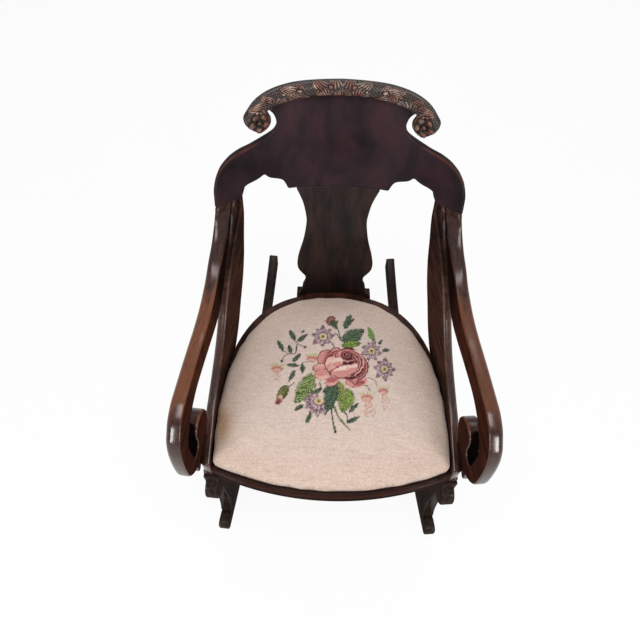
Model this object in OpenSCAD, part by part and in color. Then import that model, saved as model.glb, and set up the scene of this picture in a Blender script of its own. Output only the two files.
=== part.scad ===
// Rocking armchair with a gondola back, scrolled arms and a drop-in needlepoint seat.
// Millimetres. The floor is z = 0, the sitter looks towards -Y and +X is the chair's right as seen
// from the front. Working y is measured from the front faces of the front legs, and every piece is
// moved back by centre_y so that the origin lies under the middle of the chair.

/* [Seat frame] */
// Height of the seat rails' upper edge above the floor
rail_top = 409; // [380:1:450]
// Height of the seat rails
rail_h = 41; // [36:1:60]
// Thickness of the side and back rails, measured across the seat
rail_t = 40; // [34:1:46]
// Thickness of the bowed front rail
front_rail_t = 28; // [22:1:36]
// Depth of the ledge that the drop-in seat rests on
ledge_drop = 10; // [6:1:14]
// Radius of the bow of the front rail, in plan
bow_r = 675; // [600:5:900]
// Radius of the bead along the front rail
bead_r = 6; // [4:0.5:8]

/* [Drop-in seat] */
// Half width of the upholstered seat
seat_half_w = 254.5; // [240:0.5:255]
// Length from the widest line of the seat to its back edge
seat_rear = 357; // [340:1:360]
// Squareness of the seat's rounded back, as a power
seat_power = 2.35; // [2.2:0.05:2.5]
// Height of the upholstery from the ledge to the top of its crown
dome_h = 68; // [50:1:75]
// Height of the drop-in frame
slip_h = 18; // [14:1:22]
// Width of the drop-in frame's rails
slip_w = 46; // [36:1:56]
// Thickness of the needlepoint cover
cover_t = 3; // [2:0.5:4]
// Width of the webbing
web_w = 50; // [40:1:55]
// Thickness of the webbing
web_t = 1.5; // [1:0.1:2]
// How far the seat lifts out
seat_lift = 120; // [80:5:200]

/* [Back] */
// Angle by which the back leans from upright
recline = 17.6; // [12:0.1:20]
// Radius of the back's curve in plan
back_r = 320; // [300:1:400]
// Thickness of the crest board
crest_t = 24; // [20:1:28]
// Half width of the crest board at its shoulders
crest_half_w = 250; // [244:1:256]
// Height of the crest from the top of the splat
crest_h = 230.5; // [220:0.5:250]
// How far the carved band stands in front of the crest board
band_t = 14; // [8:1:18]
// Radius of the carved rosettes
rosette_r = 18; // [14:0.5:19]
// Length of the splat from the shoe to the crest
splat_len = 300; // [280:1:320]
// Half width of the splat at its foot and its top
splat_half_w = 95; // [85:1:100]
// Thickness of the splat
splat_t = 13; // [10:1:16]

/* [Arms and stiles] */
// Height of the arms above the seat rails
arm_rise = 246; // [225:1:260]
// Thickness of the arms
arm_t = 28; // [24:1:32]
// Half distance between the arms' outer faces at the front
arm_half_span = 305; // [300:1:312]
// Half distance between the arms' outer faces at their meeting with the crest
arm_rear_half = 255.1; // [250:0.1:260]
// Radius of the scroll at the front of the arm
scroll_r = 73; // [68:1:78]
// Radius of the round eye of the scroll
eye_r = 40; // [34:1:42]
// Thickness of the stiles
stile_t = 22; // [18:1:24]
// Half distance between the stiles' inner faces beside the seat
stile_half_gap = 257; // [256.5:0.5:262]
// How far each stile closes in towards the crest
stile_close = 49.5; // [44:0.5:52]

/* [Legs] */
// Thickness of the front legs
leg_t = 30; // [26:1:32]
// Radius of the scrolled knuckle of the front leg
knuckle_r = 32; // [26:1:34]
// Half distance between the middles of the front legs
leg_half_span = 266; // [262:0.5:272]
// Thickness of the rear legs
rear_leg_t = 28; // [22:1:34]
// Depth of the rear legs from front to back
rear_leg_depth = 44; // [36:1:56]

/* [Rockers] */
// Radius of the rockers' running edge
rocker_r = 1200; // [950:10:1350]
// Thickness of the rockers
rocker_t = 27; // [24:1:30]
// Depth of the rockers under the seat
rocker_depth = 38; // [32:1:46]
// Distance from the toe to the front faces of the legs
toe_reach = 27; // [20:1:40]
// Length of the rockers behind the front faces of the legs
tail_reach = 825; // [780:5:860]
// Angle by which each rocker closes in towards the back
rocker_toe_in = 5.08; // [4:0.02:6.5]
// Where the rockers touch the floor, behind the front faces of the legs
contact_y = 312.5; // [290:0.5:340]

/* [Fixings] */
// Clearance between glued curved faces
glue_gap = 0.3; // [0.1:0.05:0.5]
// Clearance round the drop-in seat
seat_gap = 1; // [0.6:0.1:2]
// Radius of the wood screws' shanks
screw_r = 2.2; // [1.8:0.1:3]
// Radius of the wood screws' heads
screw_head_r = 4.4; // [3.6:0.1:5.5]
// Length of the wood screws
screw_len = 38; // [30:1:45]

/* [Hidden] */
$fn = 64;

walnut = "#3a1c14";
mahogany = "#4a2318";
dark_mahogany = "#2a1512";
beech = "#b48a5c";
needlepoint = "#c9b2a4";
jute = "#a98f68";
black_cloth = "#1d1b1a";
steel = "#8d8d90";

// Cuts run past the solids that they cut by this much
over = 5;
// Half size of the blocks that cut a solid at a plane
far = 1200;
// Steps along each span of a drawn curve
curve_steps = 6;

// Y of the widest line of the seat
widest_y = 100;
// Y of the crest and splat's front face where it passes the rails' upper edge
back_y = 488.6;
// Y of the bow of the front rail at the middle of the chair
bow_y = -33;
// Back ends of the front corner
front_corner_y = 20;
rail_bottom = rail_top - rail_h;
ledge_z = rail_top - ledge_drop;
bow_centre_y = bow_y + bow_r;
front_y = bow_y - bead_r;
centre_y = (front_y + tail_reach * cos(rocker_toe_in)) / 2;

module at_centre() translate([0, -centre_y, 0]) children();
module side(sx) scale([sx, 1, 1]) children();

// A point of a Catmull-Rom span between p1 and p2
function span_point(p0, p1, p2, p3, t) =
    0.5 * ((2 * p1) + (p2 - p0) * t + (2 * p0 - 5 * p1 + 4 * p2 - p3) * t * t
        + (3 * p1 - p0 - 3 * p2 + p3) * t * t * t);
// A smooth curve through the points p
function curve(p, n = curve_steps) = concat(
    [for (i = [0 : len(p) - 2], j = [0 : n - 1])
        span_point(p[max(i - 1, 0)], p[i], p[i + 1], p[min(i + 2, len(p) - 1)], j / n)],
    [p[len(p) - 1]]);
function arc(c, r, a0, a1, n) = [for (i = [0 : n])
    let (a = a0 + (a1 - a0) * i / n) c + r * [cos(a), sin(a)]];
// Shares s of a width and a height, as lengths from a corner
function sized(s, w, h, x0 = 0, y0 = 0) = [for (p = s) [x0 + p[0] * w, y0 + p[1] * h]];
function reversed(p) = [for (i = [len(p) - 1 : -1 : 0]) p[i]];
function mirrored(p) = [for (i = [len(p) - 1 : -1 : 0]) [-p[i][0], p[i][1]]];
function signed_power(v, e) = sign(v) * pow(abs(v), e);
// Point of an oval, grown by g, at angle a from the +X side round the back
function oval(half_w, rear, y0, power, g, a) = [
    (half_w + g) * signed_power(cos(a), 2 / power), y0 + (rear + g) * signed_power(sin(a), 2 / power)];
function rear_outline(g, a) = oval(seat_half_w, seat_rear, widest_y, seat_power, g, a);

// How the stiles' inner faces stand apart along the seat
stile_start_y = 130;
stile_close_run = 387;
stile_sweep = 51;
stile_close_power = 1.25;
function stile_x(y) = stile_half_gap
    - min(stile_sweep * pow(max(y - stile_start_y, 0) / stile_close_run, stile_close_power), stile_close);

// The seat's back arc in plan
rear_steps = 40;
function rear_arc(g) = [for (i = [0 : rear_steps]) rear_outline(g, 180 * i / rear_steps)];
// The outside of the seat frame's hoop, grown by g
hoop_half_w = 264;
hoop_rear = 398;
hoop_y = 85;
hoop_power = 2.6;
function hoop_arc(g) = [for (i = [0 : rear_steps])
    oval(hoop_half_w, hoop_rear, hoop_y, hoop_power, g, 180 * i / rear_steps)];
// The front edge of the seat: an arc on the front rail's bow
front_steps = 12;
function bow_arc(half_w, inset) = let (r = bow_r - inset, a = asin(half_w / r))
    [for (i = [0 : front_steps])
        let (b = -a + 2 * a * i / front_steps) [r * sin(b), bow_centre_y - r * cos(b)]];

// Plan of the drop-in seat, grown by g
seat_inset = 8;
front_draw = 3;
module seat_plan(g = 0)
    polygon(concat(rear_arc(g), bow_arc(seat_half_w - front_draw + g, seat_inset - g)));

// Plan of the seat frame between the stiles
frame_steps = 30;
function frame_y(i) = front_y + (back_y - front_y) * i / frame_steps;
module frame_plan()
    intersection() {
        polygon(concat(hoop_arc(0), bow_arc(hoop_half_w, 0)));
        polygon(concat(
            [for (i = [0 : frame_steps]) [stile_x(frame_y(i)) - glue_gap, frame_y(i)]],
            [for (i = [frame_steps : -1 : 0]) [glue_gap - stile_x(frame_y(i)), frame_y(i)]]));
    }

// Half width of the back rail
back_rail_half_w = 150;
rail_front_y = 24;
module rail_ring() {
    difference() {
        translate([0, 0, rail_bottom]) linear_extrude(rail_h) frame_plan();
        translate([0, 0, rail_bottom - over]) linear_extrude(rail_h + 2 * over)
            polygon(concat(hoop_arc(-rail_t), [
                [rail_t - hoop_half_w, front_y - over], [hoop_half_w - rail_t, front_y - over]]));
        translate([0, 0, ledge_z]) linear_extrude(ledge_drop + over) seat_plan(seat_gap);
    }
}
// The part of the front rail's bow that the side rails stop at
module behind_front_rail()
    translate([0, bow_centre_y, 0]) cylinder(r = bow_r - front_rail_t - glue_gap, h = far, $fn = 240);

module side_rail(sx) color(mahogany) at_centre()
    difference() {
        intersection() {
            rail_ring();
            side(sx) translate([back_rail_half_w, -far, 0]) cube([far, 2 * far, far]);
            behind_front_rail();
        }
        side(sx) front_block_hole();
        side(sx) rear_block_hole();
    }
module back_rail() color(mahogany) at_centre()
    intersection() {
        rail_ring();
        translate([-back_rail_half_w, back_y - far, 0]) cube([2 * back_rail_half_w, 2 * far, far]);
    }

bead_drop = 12;
fillet_h = 8;
fillet_t = 3;
// The front rail is turned past the stiles and trimmed to stand between them
rail_turn = asin((stile_half_gap + over) / (bow_r - front_rail_t));
module front_rail() color(mahogany) at_centre()
    intersection() {
        translate([0, bow_centre_y, 0]) rotate([0, 0, -90 - rail_turn])
            rotate_extrude(angle = 2 * rail_turn, $fn = 240) {
                difference() {
                    translate([bow_r - front_rail_t, rail_bottom]) square([front_rail_t, rail_h]);
                    translate([bow_r - front_rail_t - over, ledge_z])
                        square([front_rail_t - seat_inset + over + seat_gap, ledge_drop + over]);
                }
                translate([bow_r, rail_top - bead_drop]) circle(bead_r, $fn = 32);
                translate([bow_r - fillet_t, rail_bottom]) square([2 * fillet_t, fillet_h]);
            }
        translate([glue_gap - stile_half_gap, -far, 0])
            cube([2 * stile_half_gap - 2 * glue_gap, 2 * far, rail_top]);
    }

// Corner blocks glued and screwed inside the seat frame
block_size = 58;
block_h = 26;
block_z = rail_bottom + (rail_h - ledge_drop - block_h) / 2;
front_block_x = 176;
front_block_y = 58;
rear_block_x = 162;
rear_block_y = 352;
screw_start = 4;
module front_block_plan() {
    intersection() {
        translate([0, bow_centre_y]) circle(bow_r - front_rail_t - glue_gap, $fn = 240);
        polygon([
            [hoop_half_w - rail_t - glue_gap, bow_y],
            [hoop_half_w - rail_t - glue_gap, front_block_y + block_size],
            [front_block_x, bow_y]]);
    }
}
module front_block_hole()
    translate([hoop_half_w - rail_t - screw_len / 3, front_block_y, block_z + block_h / 2])
        rotate([0, 90, 0]) cylinder(r = screw_r, h = screw_len, $fn = 20);
module rear_block_plan()
    intersection() {
        polygon(hoop_arc(-rail_t - glue_gap));
        translate([rear_block_x, rear_block_y]) rotate(45) translate([-screw_start, -block_size])
            square([3 * block_size, 2 * block_size]);
    }
module rear_block_hole()
    translate([rear_block_x, rear_block_y, block_z + block_h / 2]) rotate([0, 0, 45])
        translate([-screw_start, 0, 0]) rotate([0, 90, 0]) cylinder(r = screw_r, h = screw_len, $fn = 20);
module front_block(sx) color(beech) at_centre() side(sx)
    difference() {
        translate([0, 0, block_z]) linear_extrude(block_h) front_block_plan();
        front_block_hole();
    }
module rear_block(sx) color(beech) at_centre() side(sx)
    difference() {
        translate([0, 0, block_z]) linear_extrude(block_h) rear_block_plan();
        rear_block_hole();
    }
module block_screws() color(steel) at_centre()
    for (sx = [-1, 1]) side(sx) {
        rear_block_hole();
        front_block_hole();
    }

// Places a child drawn as x, distance up the back, distance in front of the back
module on_back() at_centre() translate([0, back_y, rail_top]) rotate([90 - recline, 0, 0]) children();
// The curved board between two distances in front of the back's face
module back_shell(front, behind)
    translate([0, -over, back_r]) rotate([-90, 0, 0]) difference() {
        cylinder(r = back_r + behind, h = far / 2 + 2 * over, $fn = 180);
        translate([0, 0, -over]) cylinder(r = back_r - front, h = far / 2 + 4 * over, $fn = 180);
    }
module on_shell(front, behind)
    intersection() {
        back_shell(front, behind);
        translate([0, 0, -back_r]) linear_extrude(2 * back_r) children();
    }

crest_lower_shares = [[0, 0], [0.44, 0], [0.452, 0.006]];
crest_step_shares = [[0.452, 0.006], [0.468, 0.05], [0.504, 0.102], [0.604, 0.141], [0.648, 0.184]];
crest_pit_shares = [[0.648, 0.184], [0.7, 0.15], [0.8, 0.113], [0.824, 0.044], [0.834, 0.013]];
crest_shoulder_shares = [
    [1.035, 0.013], [1.035, 0.1], [1.03, 0.2], [0.998, 0.318], [0.93, 0.398], [0.85, 0.444], [0.745, 0.478],
    [0.58, 0.562],
    [0.538, 0.634], [0.54, 0.686], [0.56, 0.735], [0.592, 0.769]];
crest_top_shares = [
    [0.61, 0.86], [0.524, 0.908], [0.428, 0.938], [0.328, 0.956], [0.168, 0.967], [0, 0.971]];
band_outer_shares = [
    [0, 1], [0.168, 0.996], [0.332, 0.987], [0.436, 0.97], [0.548, 0.944], [0.636, 0.907],
    [0.704, 0.858], [0.752, 0.796], [0.784, 0.734], [0.764, 0.655], [0.708, 0.611], [0.66, 0.592],
    [0.61, 0.611], [0.579, 0.655], [0.579, 0.707], [0.6, 0.755]];
band_inner_shares = [
    [0.592, 0.778], [0.556, 0.781], [0.504, 0.816], [0.416, 0.837], [0.332, 0.851],
    [0.208, 0.864], [0, 0.871]];
function on_crest(s) = sized(s, crest_half_w, crest_h, 0, splat_len);
function crest_half() = concat(
    on_crest(crest_lower_shares), curve(on_crest(crest_step_shares)), curve(on_crest(crest_pit_shares)),
    curve(on_crest(crest_shoulder_shares)), curve(on_crest(crest_top_shares)));
function band_half() = concat(curve(on_crest(band_outer_shares)), curve(on_crest(band_inner_shares)));
joint_u = splat_len + crest_pit_shares[4][1] * crest_h - glue_gap;

module crest_outline() polygon(concat(crest_half(), mirrored(crest_half())));
module band_outline() polygon(concat(band_half(), mirrored(band_half())));
module crest_board() color(mahogany) on_back() on_shell(0, crest_t) crest_outline();
// How far the carved band reaches back over the crest board
band_back = 10;
module crest_carving() color(walnut) on_back() {
    on_shell(band_t, 0) band_outline();
    on_shell(0, band_back) difference() {
        band_outline();
        crest_outline();
    }
}

rosette_x_share = 0.656;
rosette_u_share = 0.689;
petal_count = 6;
petal_share = 0.36;
petal_ring_share = 0.62;
boss_share = 0.34;
rosette_t = 4;
boss_t = 3;
module petals() {
    circle(rosette_r * petal_ring_share);
    for (i = [0 : petal_count - 1]) rotate(360 * i / petal_count)
        translate([rosette_r * petal_ring_share, 0]) circle(rosette_r * petal_share, $fn = 32);
}
module rosette(sx) color(walnut) on_back() side(sx)
    let (x = rosette_x_share * crest_half_w, a = asin(x / back_r), r = back_r - band_t) {
        intersection() {
            back_shell(band_t + rosette_t, -band_t);
            translate([back_r * sin(a), splat_len + rosette_u_share * crest_h, back_r - back_r * cos(a)])
                rotate([0, -a, 0]) linear_extrude(2 * rosette_r) petals();
        }
        intersection() {
            back_shell(band_t + rosette_t + boss_t, -band_t - rosette_t / 2);
            translate([back_r * sin(a), splat_len + rosette_u_share * crest_h, back_r - back_r * cos(a)])
                rotate([0, -a, 0]) cylinder(r = rosette_r * boss_share, h = 2 * rosette_r, $fn = 32);
        }
    }

splat_shares = [
    [0.767, 0.187], [0.942, 0.264], [0.979, 0.332], [0.937, 0.412], [0.821, 0.541], [0.751, 0.687],
    [0.763, 0.762], [0.842, 0.879], [1, 1]];
splat_foot_shares = [[1, 0], [0.853, 0.06], [0.837, 0.101], [0.774, 0.139], [0.767, 0.187]];
function splat_half() = concat(
    curve(sized(splat_foot_shares, splat_half_w, splat_len), 4),
    curve(sized(splat_shares, splat_half_w, splat_len), 4));
module splat() color(dark_mahogany) on_back() on_shell(0, splat_t)
    polygon(concat(splat_half(), mirrored(splat_half())));

// The shoe behind the back rail that carries the splat
shoe_t = 24;
shoe_h = 40;
shoe_front = 24;
module splat_shoe() color(dark_mahogany) difference() {
    at_centre() difference() {
        translate([-splat_half_w, back_y - shoe_front, rail_top - shoe_h])
            cube([2 * splat_half_w, shoe_front + shoe_t, shoe_h]);
        translate([0, 0, rail_top - shoe_h - over]) linear_extrude(shoe_h + 2 * over)
            polygon(hoop_arc(glue_gap));
    }
    on_back() translate([-far, -glue_gap, -far]) cube(2 * far);
}

// Stiles: the side view in y and z, kept to a plank that bends with the seat's plan
stile_run = 500;
stile_rise = 350;
stile_front_shares = [
    [1.02, 1.15], [0.974, 1.027], [0.872, 0.9], [0.74, 0.731], [0.642, 0.597], [0.57, 0.491],
    [0.5, 0.406], [0.42, 0.334], [0.336, 0.274], [0.272, 0.24], [0.16, 0.2], [0.03, 0.166]];
stile_rear_shares = [
    [0.42, 0], [0.5, 0.02], [0.6, 0.077], [0.72, 0.186], [0.824, 0.352], [0.89, 0.463],
    [0.944, 0.597], [0.978, 0.729], [1.016, 0.869], [1.036, 1.011], [1.06, 1.183]];
stile_steps = 24;
stile_end_y = 560;
module stile_plan() {
    ys = [for (i = [0 : stile_steps]) front_y + (stile_end_y - front_y) * i / stile_steps];
    polygon(concat(
        [for (y = ys) [stile_x(y), y]],
        [for (i = [stile_steps : -1 : 0]) [stile_x(ys[i]) + stile_t, ys[i]]]));
}
module stile(sx) color(mahogany) at_centre() side(sx)
    difference() {
        intersection() {
            rotate([90, 0, 90]) linear_extrude(far) polygon(concat(
                curve(sized(stile_front_shares, stile_run, stile_rise, 0, rail_bottom)),
                [[stile_front_shares[11][0] * stile_run, rail_bottom]],
                curve(sized(stile_rear_shares, stile_run, stile_rise, 0, rail_bottom))));
            translate([0, 0, rail_bottom - over]) linear_extrude(far) stile_plan();
        }
        above_joint();
    }
// Everything above the joints under the crest's shoulders
module above_joint() translate([0, back_y, rail_top]) rotate([90 - recline, 0, 0])
    translate([-far, joint_u, -far]) cube(2 * far);

// Arms: the side view of the plank, drawn in y and z
arm_run = 500;
arm_top_shares = [
    [1.01, 1.53], [0.965, 1.43], [0.924, 1.327], [0.886, 1.258], [0.812, 1.168], [0.726, 1.107], [0.652, 1.041],
    [0.544, 0.992], [0.438, 0.984], [0.376, 0.992], [0.282, 1.002], [0.176, 1.008], [0.118, 1.008],
    [0.076, 0.988], [0.04, 0.955], [0.008, 0.898], [-0.02, 0.837], [-0.04, 0.74], [-0.051, 0.62],
    [-0.0555, 0.5], [-0.056, 0.42]];
arm_under_shares = [
    [0.024, 0.42], [0.024, 0.561], [0.034, 0.626], [0.058, 0.679], [0.088, 0.724], [0.13, 0.765],
    [0.18, 0.79], [0.24, 0.8], [0.33, 0.785], [0.42, 0.762], [0.5, 0.742], [0.57, 0.736],
    [0.64, 0.765], [0.72, 0.85], [0.82, 1], [0.92, 1.16], [1.02, 1.34], [1.14, 1.56]];
scroll_y = 45;
scroll_z_share = 0.407;
eye_y = 75;
eye_z_share = 0.345;
slot_y = 24;
slot_r = 12;
slot_z_share = 0.35;
scroll_z = rail_top + scroll_z_share * arm_rise;
eye_z = rail_top + eye_z_share * arm_rise;
slot_z = rail_top + slot_z_share * arm_rise;
module arm_profile() {
    difference() {
        union() {
            polygon(concat(
                curve(sized(arm_top_shares, arm_run, arm_rise, 0, rail_top)),
                curve(sized(arm_under_shares, arm_run, arm_rise, 0, rail_top))));
            difference() {
                translate([scroll_y, scroll_z]) circle(scroll_r, $fn = 96);
                translate([slot_y - slot_r, slot_z]) square([far, far]);
            }
            intersection() {
                translate([eye_y, eye_z]) circle(eye_r, $fn = 96);
                translate([scroll_y, scroll_z - scroll_r]) square([far, far]);
            }
        }
        translate([slot_y, slot_z]) circle(slot_r, $fn = 48);
        translate([slot_y - slot_r, slot_z]) square([eye_y - eye_r - slot_y + slot_r, eye_r / 2]);
    }
}
// Turns a plank drawn in y and z into the splayed plane of the arm, its outer face outwards
arm_splay = atan((arm_half_span - arm_rear_half) / arm_run);
module arm_plane() translate([arm_half_span, 0, 0]) rotate([0, 0, arm_splay])
    rotate([90, 0, -90]) mirror([1, 0, 0]) children();
module arm(sx) color(mahogany) at_centre() side(sx)
    difference() {
        arm_plane() linear_extrude(arm_t) arm_profile();
        intersection() {
            translate([0, 0, rail_top + arm_rise / 2]) linear_extrude(far) arm_cut_plan();
            behind_stile_front();
        }
        above_joint();
    }
// The room behind the stile's front edge, which the arm laps over
module behind_stile_front() rotate([90, 0, 90]) linear_extrude(far) polygon(concat(
    curve(sized(stile_front_shares, stile_run, stile_rise, -glue_gap, rail_bottom + glue_gap)),
    [[arm_end_y, rail_bottom], [arm_end_y, rail_bottom + 2 * stile_rise]]));
// Where the stile stands beside the rear of the arm
arm_join_y = 318;
arm_join_steps = 10;
arm_end_y = 600;
module arm_cut_plan() polygon(concat(
    [[0, arm_join_y]],
    [for (i = [0 : arm_join_steps]) let (y = arm_join_y + (arm_end_y - arm_join_y) * i / arm_join_steps)
        [stile_x(y) + stile_t + glue_gap, y]],
    [[0, arm_end_y]]));

// The block under the scroll, outside the stile
scroll_block_w = 20;
scroll_block_len = 74;
scroll_block_y = 8;
scroll_block_h = 62;
module scroll_block(sx) color(dark_mahogany) at_centre() side(sx)
    difference() {
        translate([stile_half_gap + stile_t + glue_gap, scroll_block_y,
            scroll_z - scroll_r - scroll_block_h / 2])
            cube([scroll_block_w, scroll_block_len, scroll_block_h]);
        arm_plane() translate([0, 0, -over]) linear_extrude(arm_t + 2 * over)
            translate([scroll_y, scroll_z]) circle(scroll_r + glue_gap, $fn = 96);
    }

// Rockers and legs are drawn in y and z and stand in the rocker's plane
module rocker_plane(t) translate([leg_half_span + t / 2, 0, 0]) rotate([0, 0, rocker_toe_in])
    rotate([90, 0, -90]) mirror([1, 0, 0]) linear_extrude(t) children();
rocker_top_r = rocker_r - rocker_depth;
toe_r = 13;
// The toe is rounded like a bolster, above and below
toe_drop = sqrt(rocker_r * rocker_r - (contact_y + toe_reach - toe_r) * (contact_y + toe_reach - toe_r));
toe_low_z = rocker_r - toe_drop + toe_r;
toe_high_z = rocker_r - toe_drop + rocker_depth - toe_r;
toe_turn = 66;
toe_steps = 8;
module rocker_profile()
    intersection() {
        difference() {
            translate([contact_y, rocker_r]) circle(rocker_r, $fn = 360);
            translate([contact_y, rocker_r]) circle(rocker_top_r, $fn = 360);
        }
        polygon(concat(
            [[tail_reach, -over], [tail_reach, rocker_r / 2], [toe_r, rocker_r / 2]],
            arc([toe_r - toe_reach, toe_high_z], toe_r, 180 - toe_turn, 180, toe_steps),
            arc([toe_r - toe_reach, toe_low_z], toe_r, 180, 180 + toe_turn, toe_steps),
            [[toe_r, -over]]));
    }
module rocker(sx) color(dark_mahogany) at_centre() side(sx)
    difference() {
        rocker_plane(rocker_t) rocker_profile();
        front_leg_screws();
        rear_leg_screws();
    }

leg_depth = 120;
leg_foot_z = 79;
leg_front_shares = [
    [0.08, -0.2], [0.09, -0.04], [0.14, 0.02], [0.19, 0.115], [0.215, 0.26], [0.2, 0.45],
    [0.18, 0.57], [0.183, 0.651]];
leg_neck_shares = [[0.08, 1]];
knuckle_start = 277;
knuckle_end = 105;
knuckle_steps = 24;
leg_rear_shares = [
    [1.017, 1], [0.933, 0.804], [0.85, 0.49], [0.833, 0.21], [0.9, 0], [1, -0.2]];
knuckle_z_share = 0.764;
knuckle_y_share = 0.15;
leg_rise = rail_bottom - leg_foot_z;
module front_leg_profile()
    intersection() {
        polygon(concat(
            curve(sized(leg_front_shares, leg_depth, leg_rise, 0, leg_foot_z)),
            arc([knuckle_y_share * leg_depth, leg_foot_z + knuckle_z_share * leg_rise],
                knuckle_r, knuckle_start, knuckle_end, knuckle_steps),
            sized(leg_neck_shares, leg_depth, leg_rise, 0, leg_foot_z),
            curve(sized(leg_rear_shares, leg_depth, leg_rise, 0, leg_foot_z))));
        translate([contact_y, rocker_r]) circle(rocker_top_r - glue_gap, $fn = 360);
    }
module front_leg(sx) color(dark_mahogany) at_centre() side(sx)
    difference() {
        rocker_plane(leg_t) front_leg_profile();
        front_leg_screws();
    }

// Rear legs rake backwards and outwards from the seat frame to the rockers
rear_top_x = 184;
rear_top_y = 385;
rear_foot_y = 530;
rear_foot_x = leg_half_span - rear_foot_y * tan(rocker_toe_in);
rear_spread = atan((rear_foot_x - rear_top_x) / (rear_foot_y - rear_top_y));
rear_len = (rear_foot_y - rear_top_y) / cos(rear_spread);
rear_middle_shares = [[1.28, 0], [0.98, 0.14], [0.7, 0.3], [0.42, 0.5], [0.12, 0.78], [0, 1.05]];
module rear_leg_profile()
    polygon(concat(
        curve(sized(rear_middle_shares, rear_len, rail_bottom, -rear_leg_depth / 2)),
        reversed(curve(sized(rear_middle_shares, rear_len, rail_bottom, rear_leg_depth / 2)))));
module rear_leg(sx) color(dark_mahogany) at_centre() side(sx)
    difference() {
        intersection() {
            translate([rear_top_x, rear_top_y, 0]) rotate([0, 0, -rear_spread])
                translate([rear_leg_t / 2, 0, 0]) rotate([90, 0, -90]) mirror([1, 0, 0])
                    linear_extrude(rear_leg_t) rear_leg_profile();
            rocker_plane(far / 4) translate([contact_y, rocker_r])
                circle(rocker_top_r - glue_gap, $fn = 360);
            translate([-far, -far, 0]) cube([2 * far, 2 * far, rail_bottom]);
        }
        rear_leg_screws();
    }
// Screws through the rockers into the legs
front_screw_y = 60;
rear_screw_y = 510;
screw_pitch = 20;
screw_sink = 20;
module leg_screw(y) translate([leg_half_span - y * tan(rocker_toe_in), y, contact_z(y) + screw_sink]) {
    cylinder(r = screw_r, h = screw_len, $fn = 20);
    cylinder(r = screw_head_r, h = screw_head_r, $fn = 20);
}
function contact_z(y) = rocker_r - sqrt(rocker_r * rocker_r - (y - contact_y) * (y - contact_y));
module front_leg_screws() for (i = [0 : 1]) leg_screw(front_screw_y + i * screw_pitch);
module rear_leg_screws() for (i = [0 : 1]) leg_screw(rear_screw_y + i * screw_pitch);
module rocker_screws() color(steel) at_centre()
    for (sx = [-1, 1]) side(sx) {
        front_leg_screws();
        rear_leg_screws();
    }

// Drop-in seat
dust_t = 0.7;
rest_gap = 0.05;
dust_z = ledge_z + rest_gap;
slip_z = dust_z + dust_t + glue_gap;
slip_inset = cover_t + glue_gap;
module slip_ring()
    translate([0, 0, slip_z]) linear_extrude(slip_h) difference() {
        rim_plan(slip_inset);
        rim_plan(slip_inset + slip_w);
    }
slip_half_w = 150;
slip_front_y = 50;
module slip_front() color(beech) at_centre() intersection() {
    slip_ring();
    translate([-far, slip_front_y - far, 0]) cube([2 * far, far, far]);
}
module slip_back() color(beech) at_centre() intersection() {
    slip_ring();
    translate([-slip_half_w, slip_front_y, 0]) cube([2 * slip_half_w, far, far]);
}
module slip_side(sx) color(beech) at_centre() intersection() {
    slip_ring();
    side(sx) translate([slip_half_w, slip_front_y, 0]) cube([far, far, far]);
}

web_count = 5;
web_pitch = 84;
web_z = slip_z + slip_h + glue_gap;
module webbing_long() color(jute) at_centre()
    intersection() {
        for (i = [0 : web_count - 1])
            translate([(i - (web_count - 1) / 2) * web_pitch - web_w / 2, bow_y, web_z])
                cube([web_w, far, web_t]);
        translate([0, 0, web_z - over]) linear_extrude(2 * over) rim_plan(slip_inset + over);
    }
module webbing_cross() color(jute) at_centre()
    intersection() {
        for (i = [0 : web_count - 1])
            translate([-far, widest_y + (i - 0.6) * web_pitch - web_w / 2, web_z + web_t + glue_gap])
                cube([2 * far, web_w, web_t]);
        translate([0, 0, web_z - over]) linear_extrude(2 * over) rim_plan(slip_inset + over);
    }

// The stuffing and its cover are domes over the seat's plan
rear_sides = 26;
front_sides = 14;
dome_sides = rear_sides + front_sides;
seat_middle_y = 215;
// Shares of the plan and of the height at each ring, from the rim to the crown
dome_shares = [
    [1, 0], [1, 0.4], [0.994, 0.5], [0.98, 0.59], [0.95, 0.67], [0.88, 0.76], [0.76, 0.85],
    [0.58, 0.93], [0.33, 0.98]];
dome_rings = len(dome_shares);
pad_ring = 2;
// Plan point of the seat's rim, drawn in by d, at step i of dome_sides
function rim_point(i, d) = i <= rear_sides
    ? rear_outline(-d, 180 * i / rear_sides)
    : let (w = seat_half_w - front_draw - d, r = bow_r - seat_inset - d, a = asin(w / r),
        b = -a + 2 * a * (i - rear_sides - 1) / (front_sides - 2))
        [r * sin(b), bow_centre_y - r * cos(b)];
function dome_point(s, i, d, h) = let (p = rim_point(i, d))
    [p[0] * s[0], seat_middle_y + (p[1] - seat_middle_y) * s[0], slip_z + h * s[1]];
module rim_plan(d) polygon([for (i = [0 : dome_sides - 1]) rim_point(i, d)]);
// Points of a dome from one of its rings to its crown
function dome(d, h, first = 0) = concat(
    [for (k = [first : dome_rings - 1], i = [0 : dome_sides - 1]) dome_point(dome_shares[k], i, d, h)],
    [[0, seat_middle_y, slip_z + h]]);
function skin(first, rings) = [for (k = [0 : rings - 2], i = [0 : dome_sides - 1], h = [0 : 1])
    let (a = first + k * dome_sides + i, b = first + k * dome_sides + (i + 1) % dome_sides)
        h == 0 ? [b, a, a + dome_sides] : [b, a + dome_sides, b + dome_sides]];
function cap(first, top) = [for (i = [0 : dome_sides - 1]) [first + (i + 1) % dome_sides, first + i, top]];
function flipped(faces) = [for (f = faces) [for (i = [len(f) - 1 : -1 : 0]) f[i]]];

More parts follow.
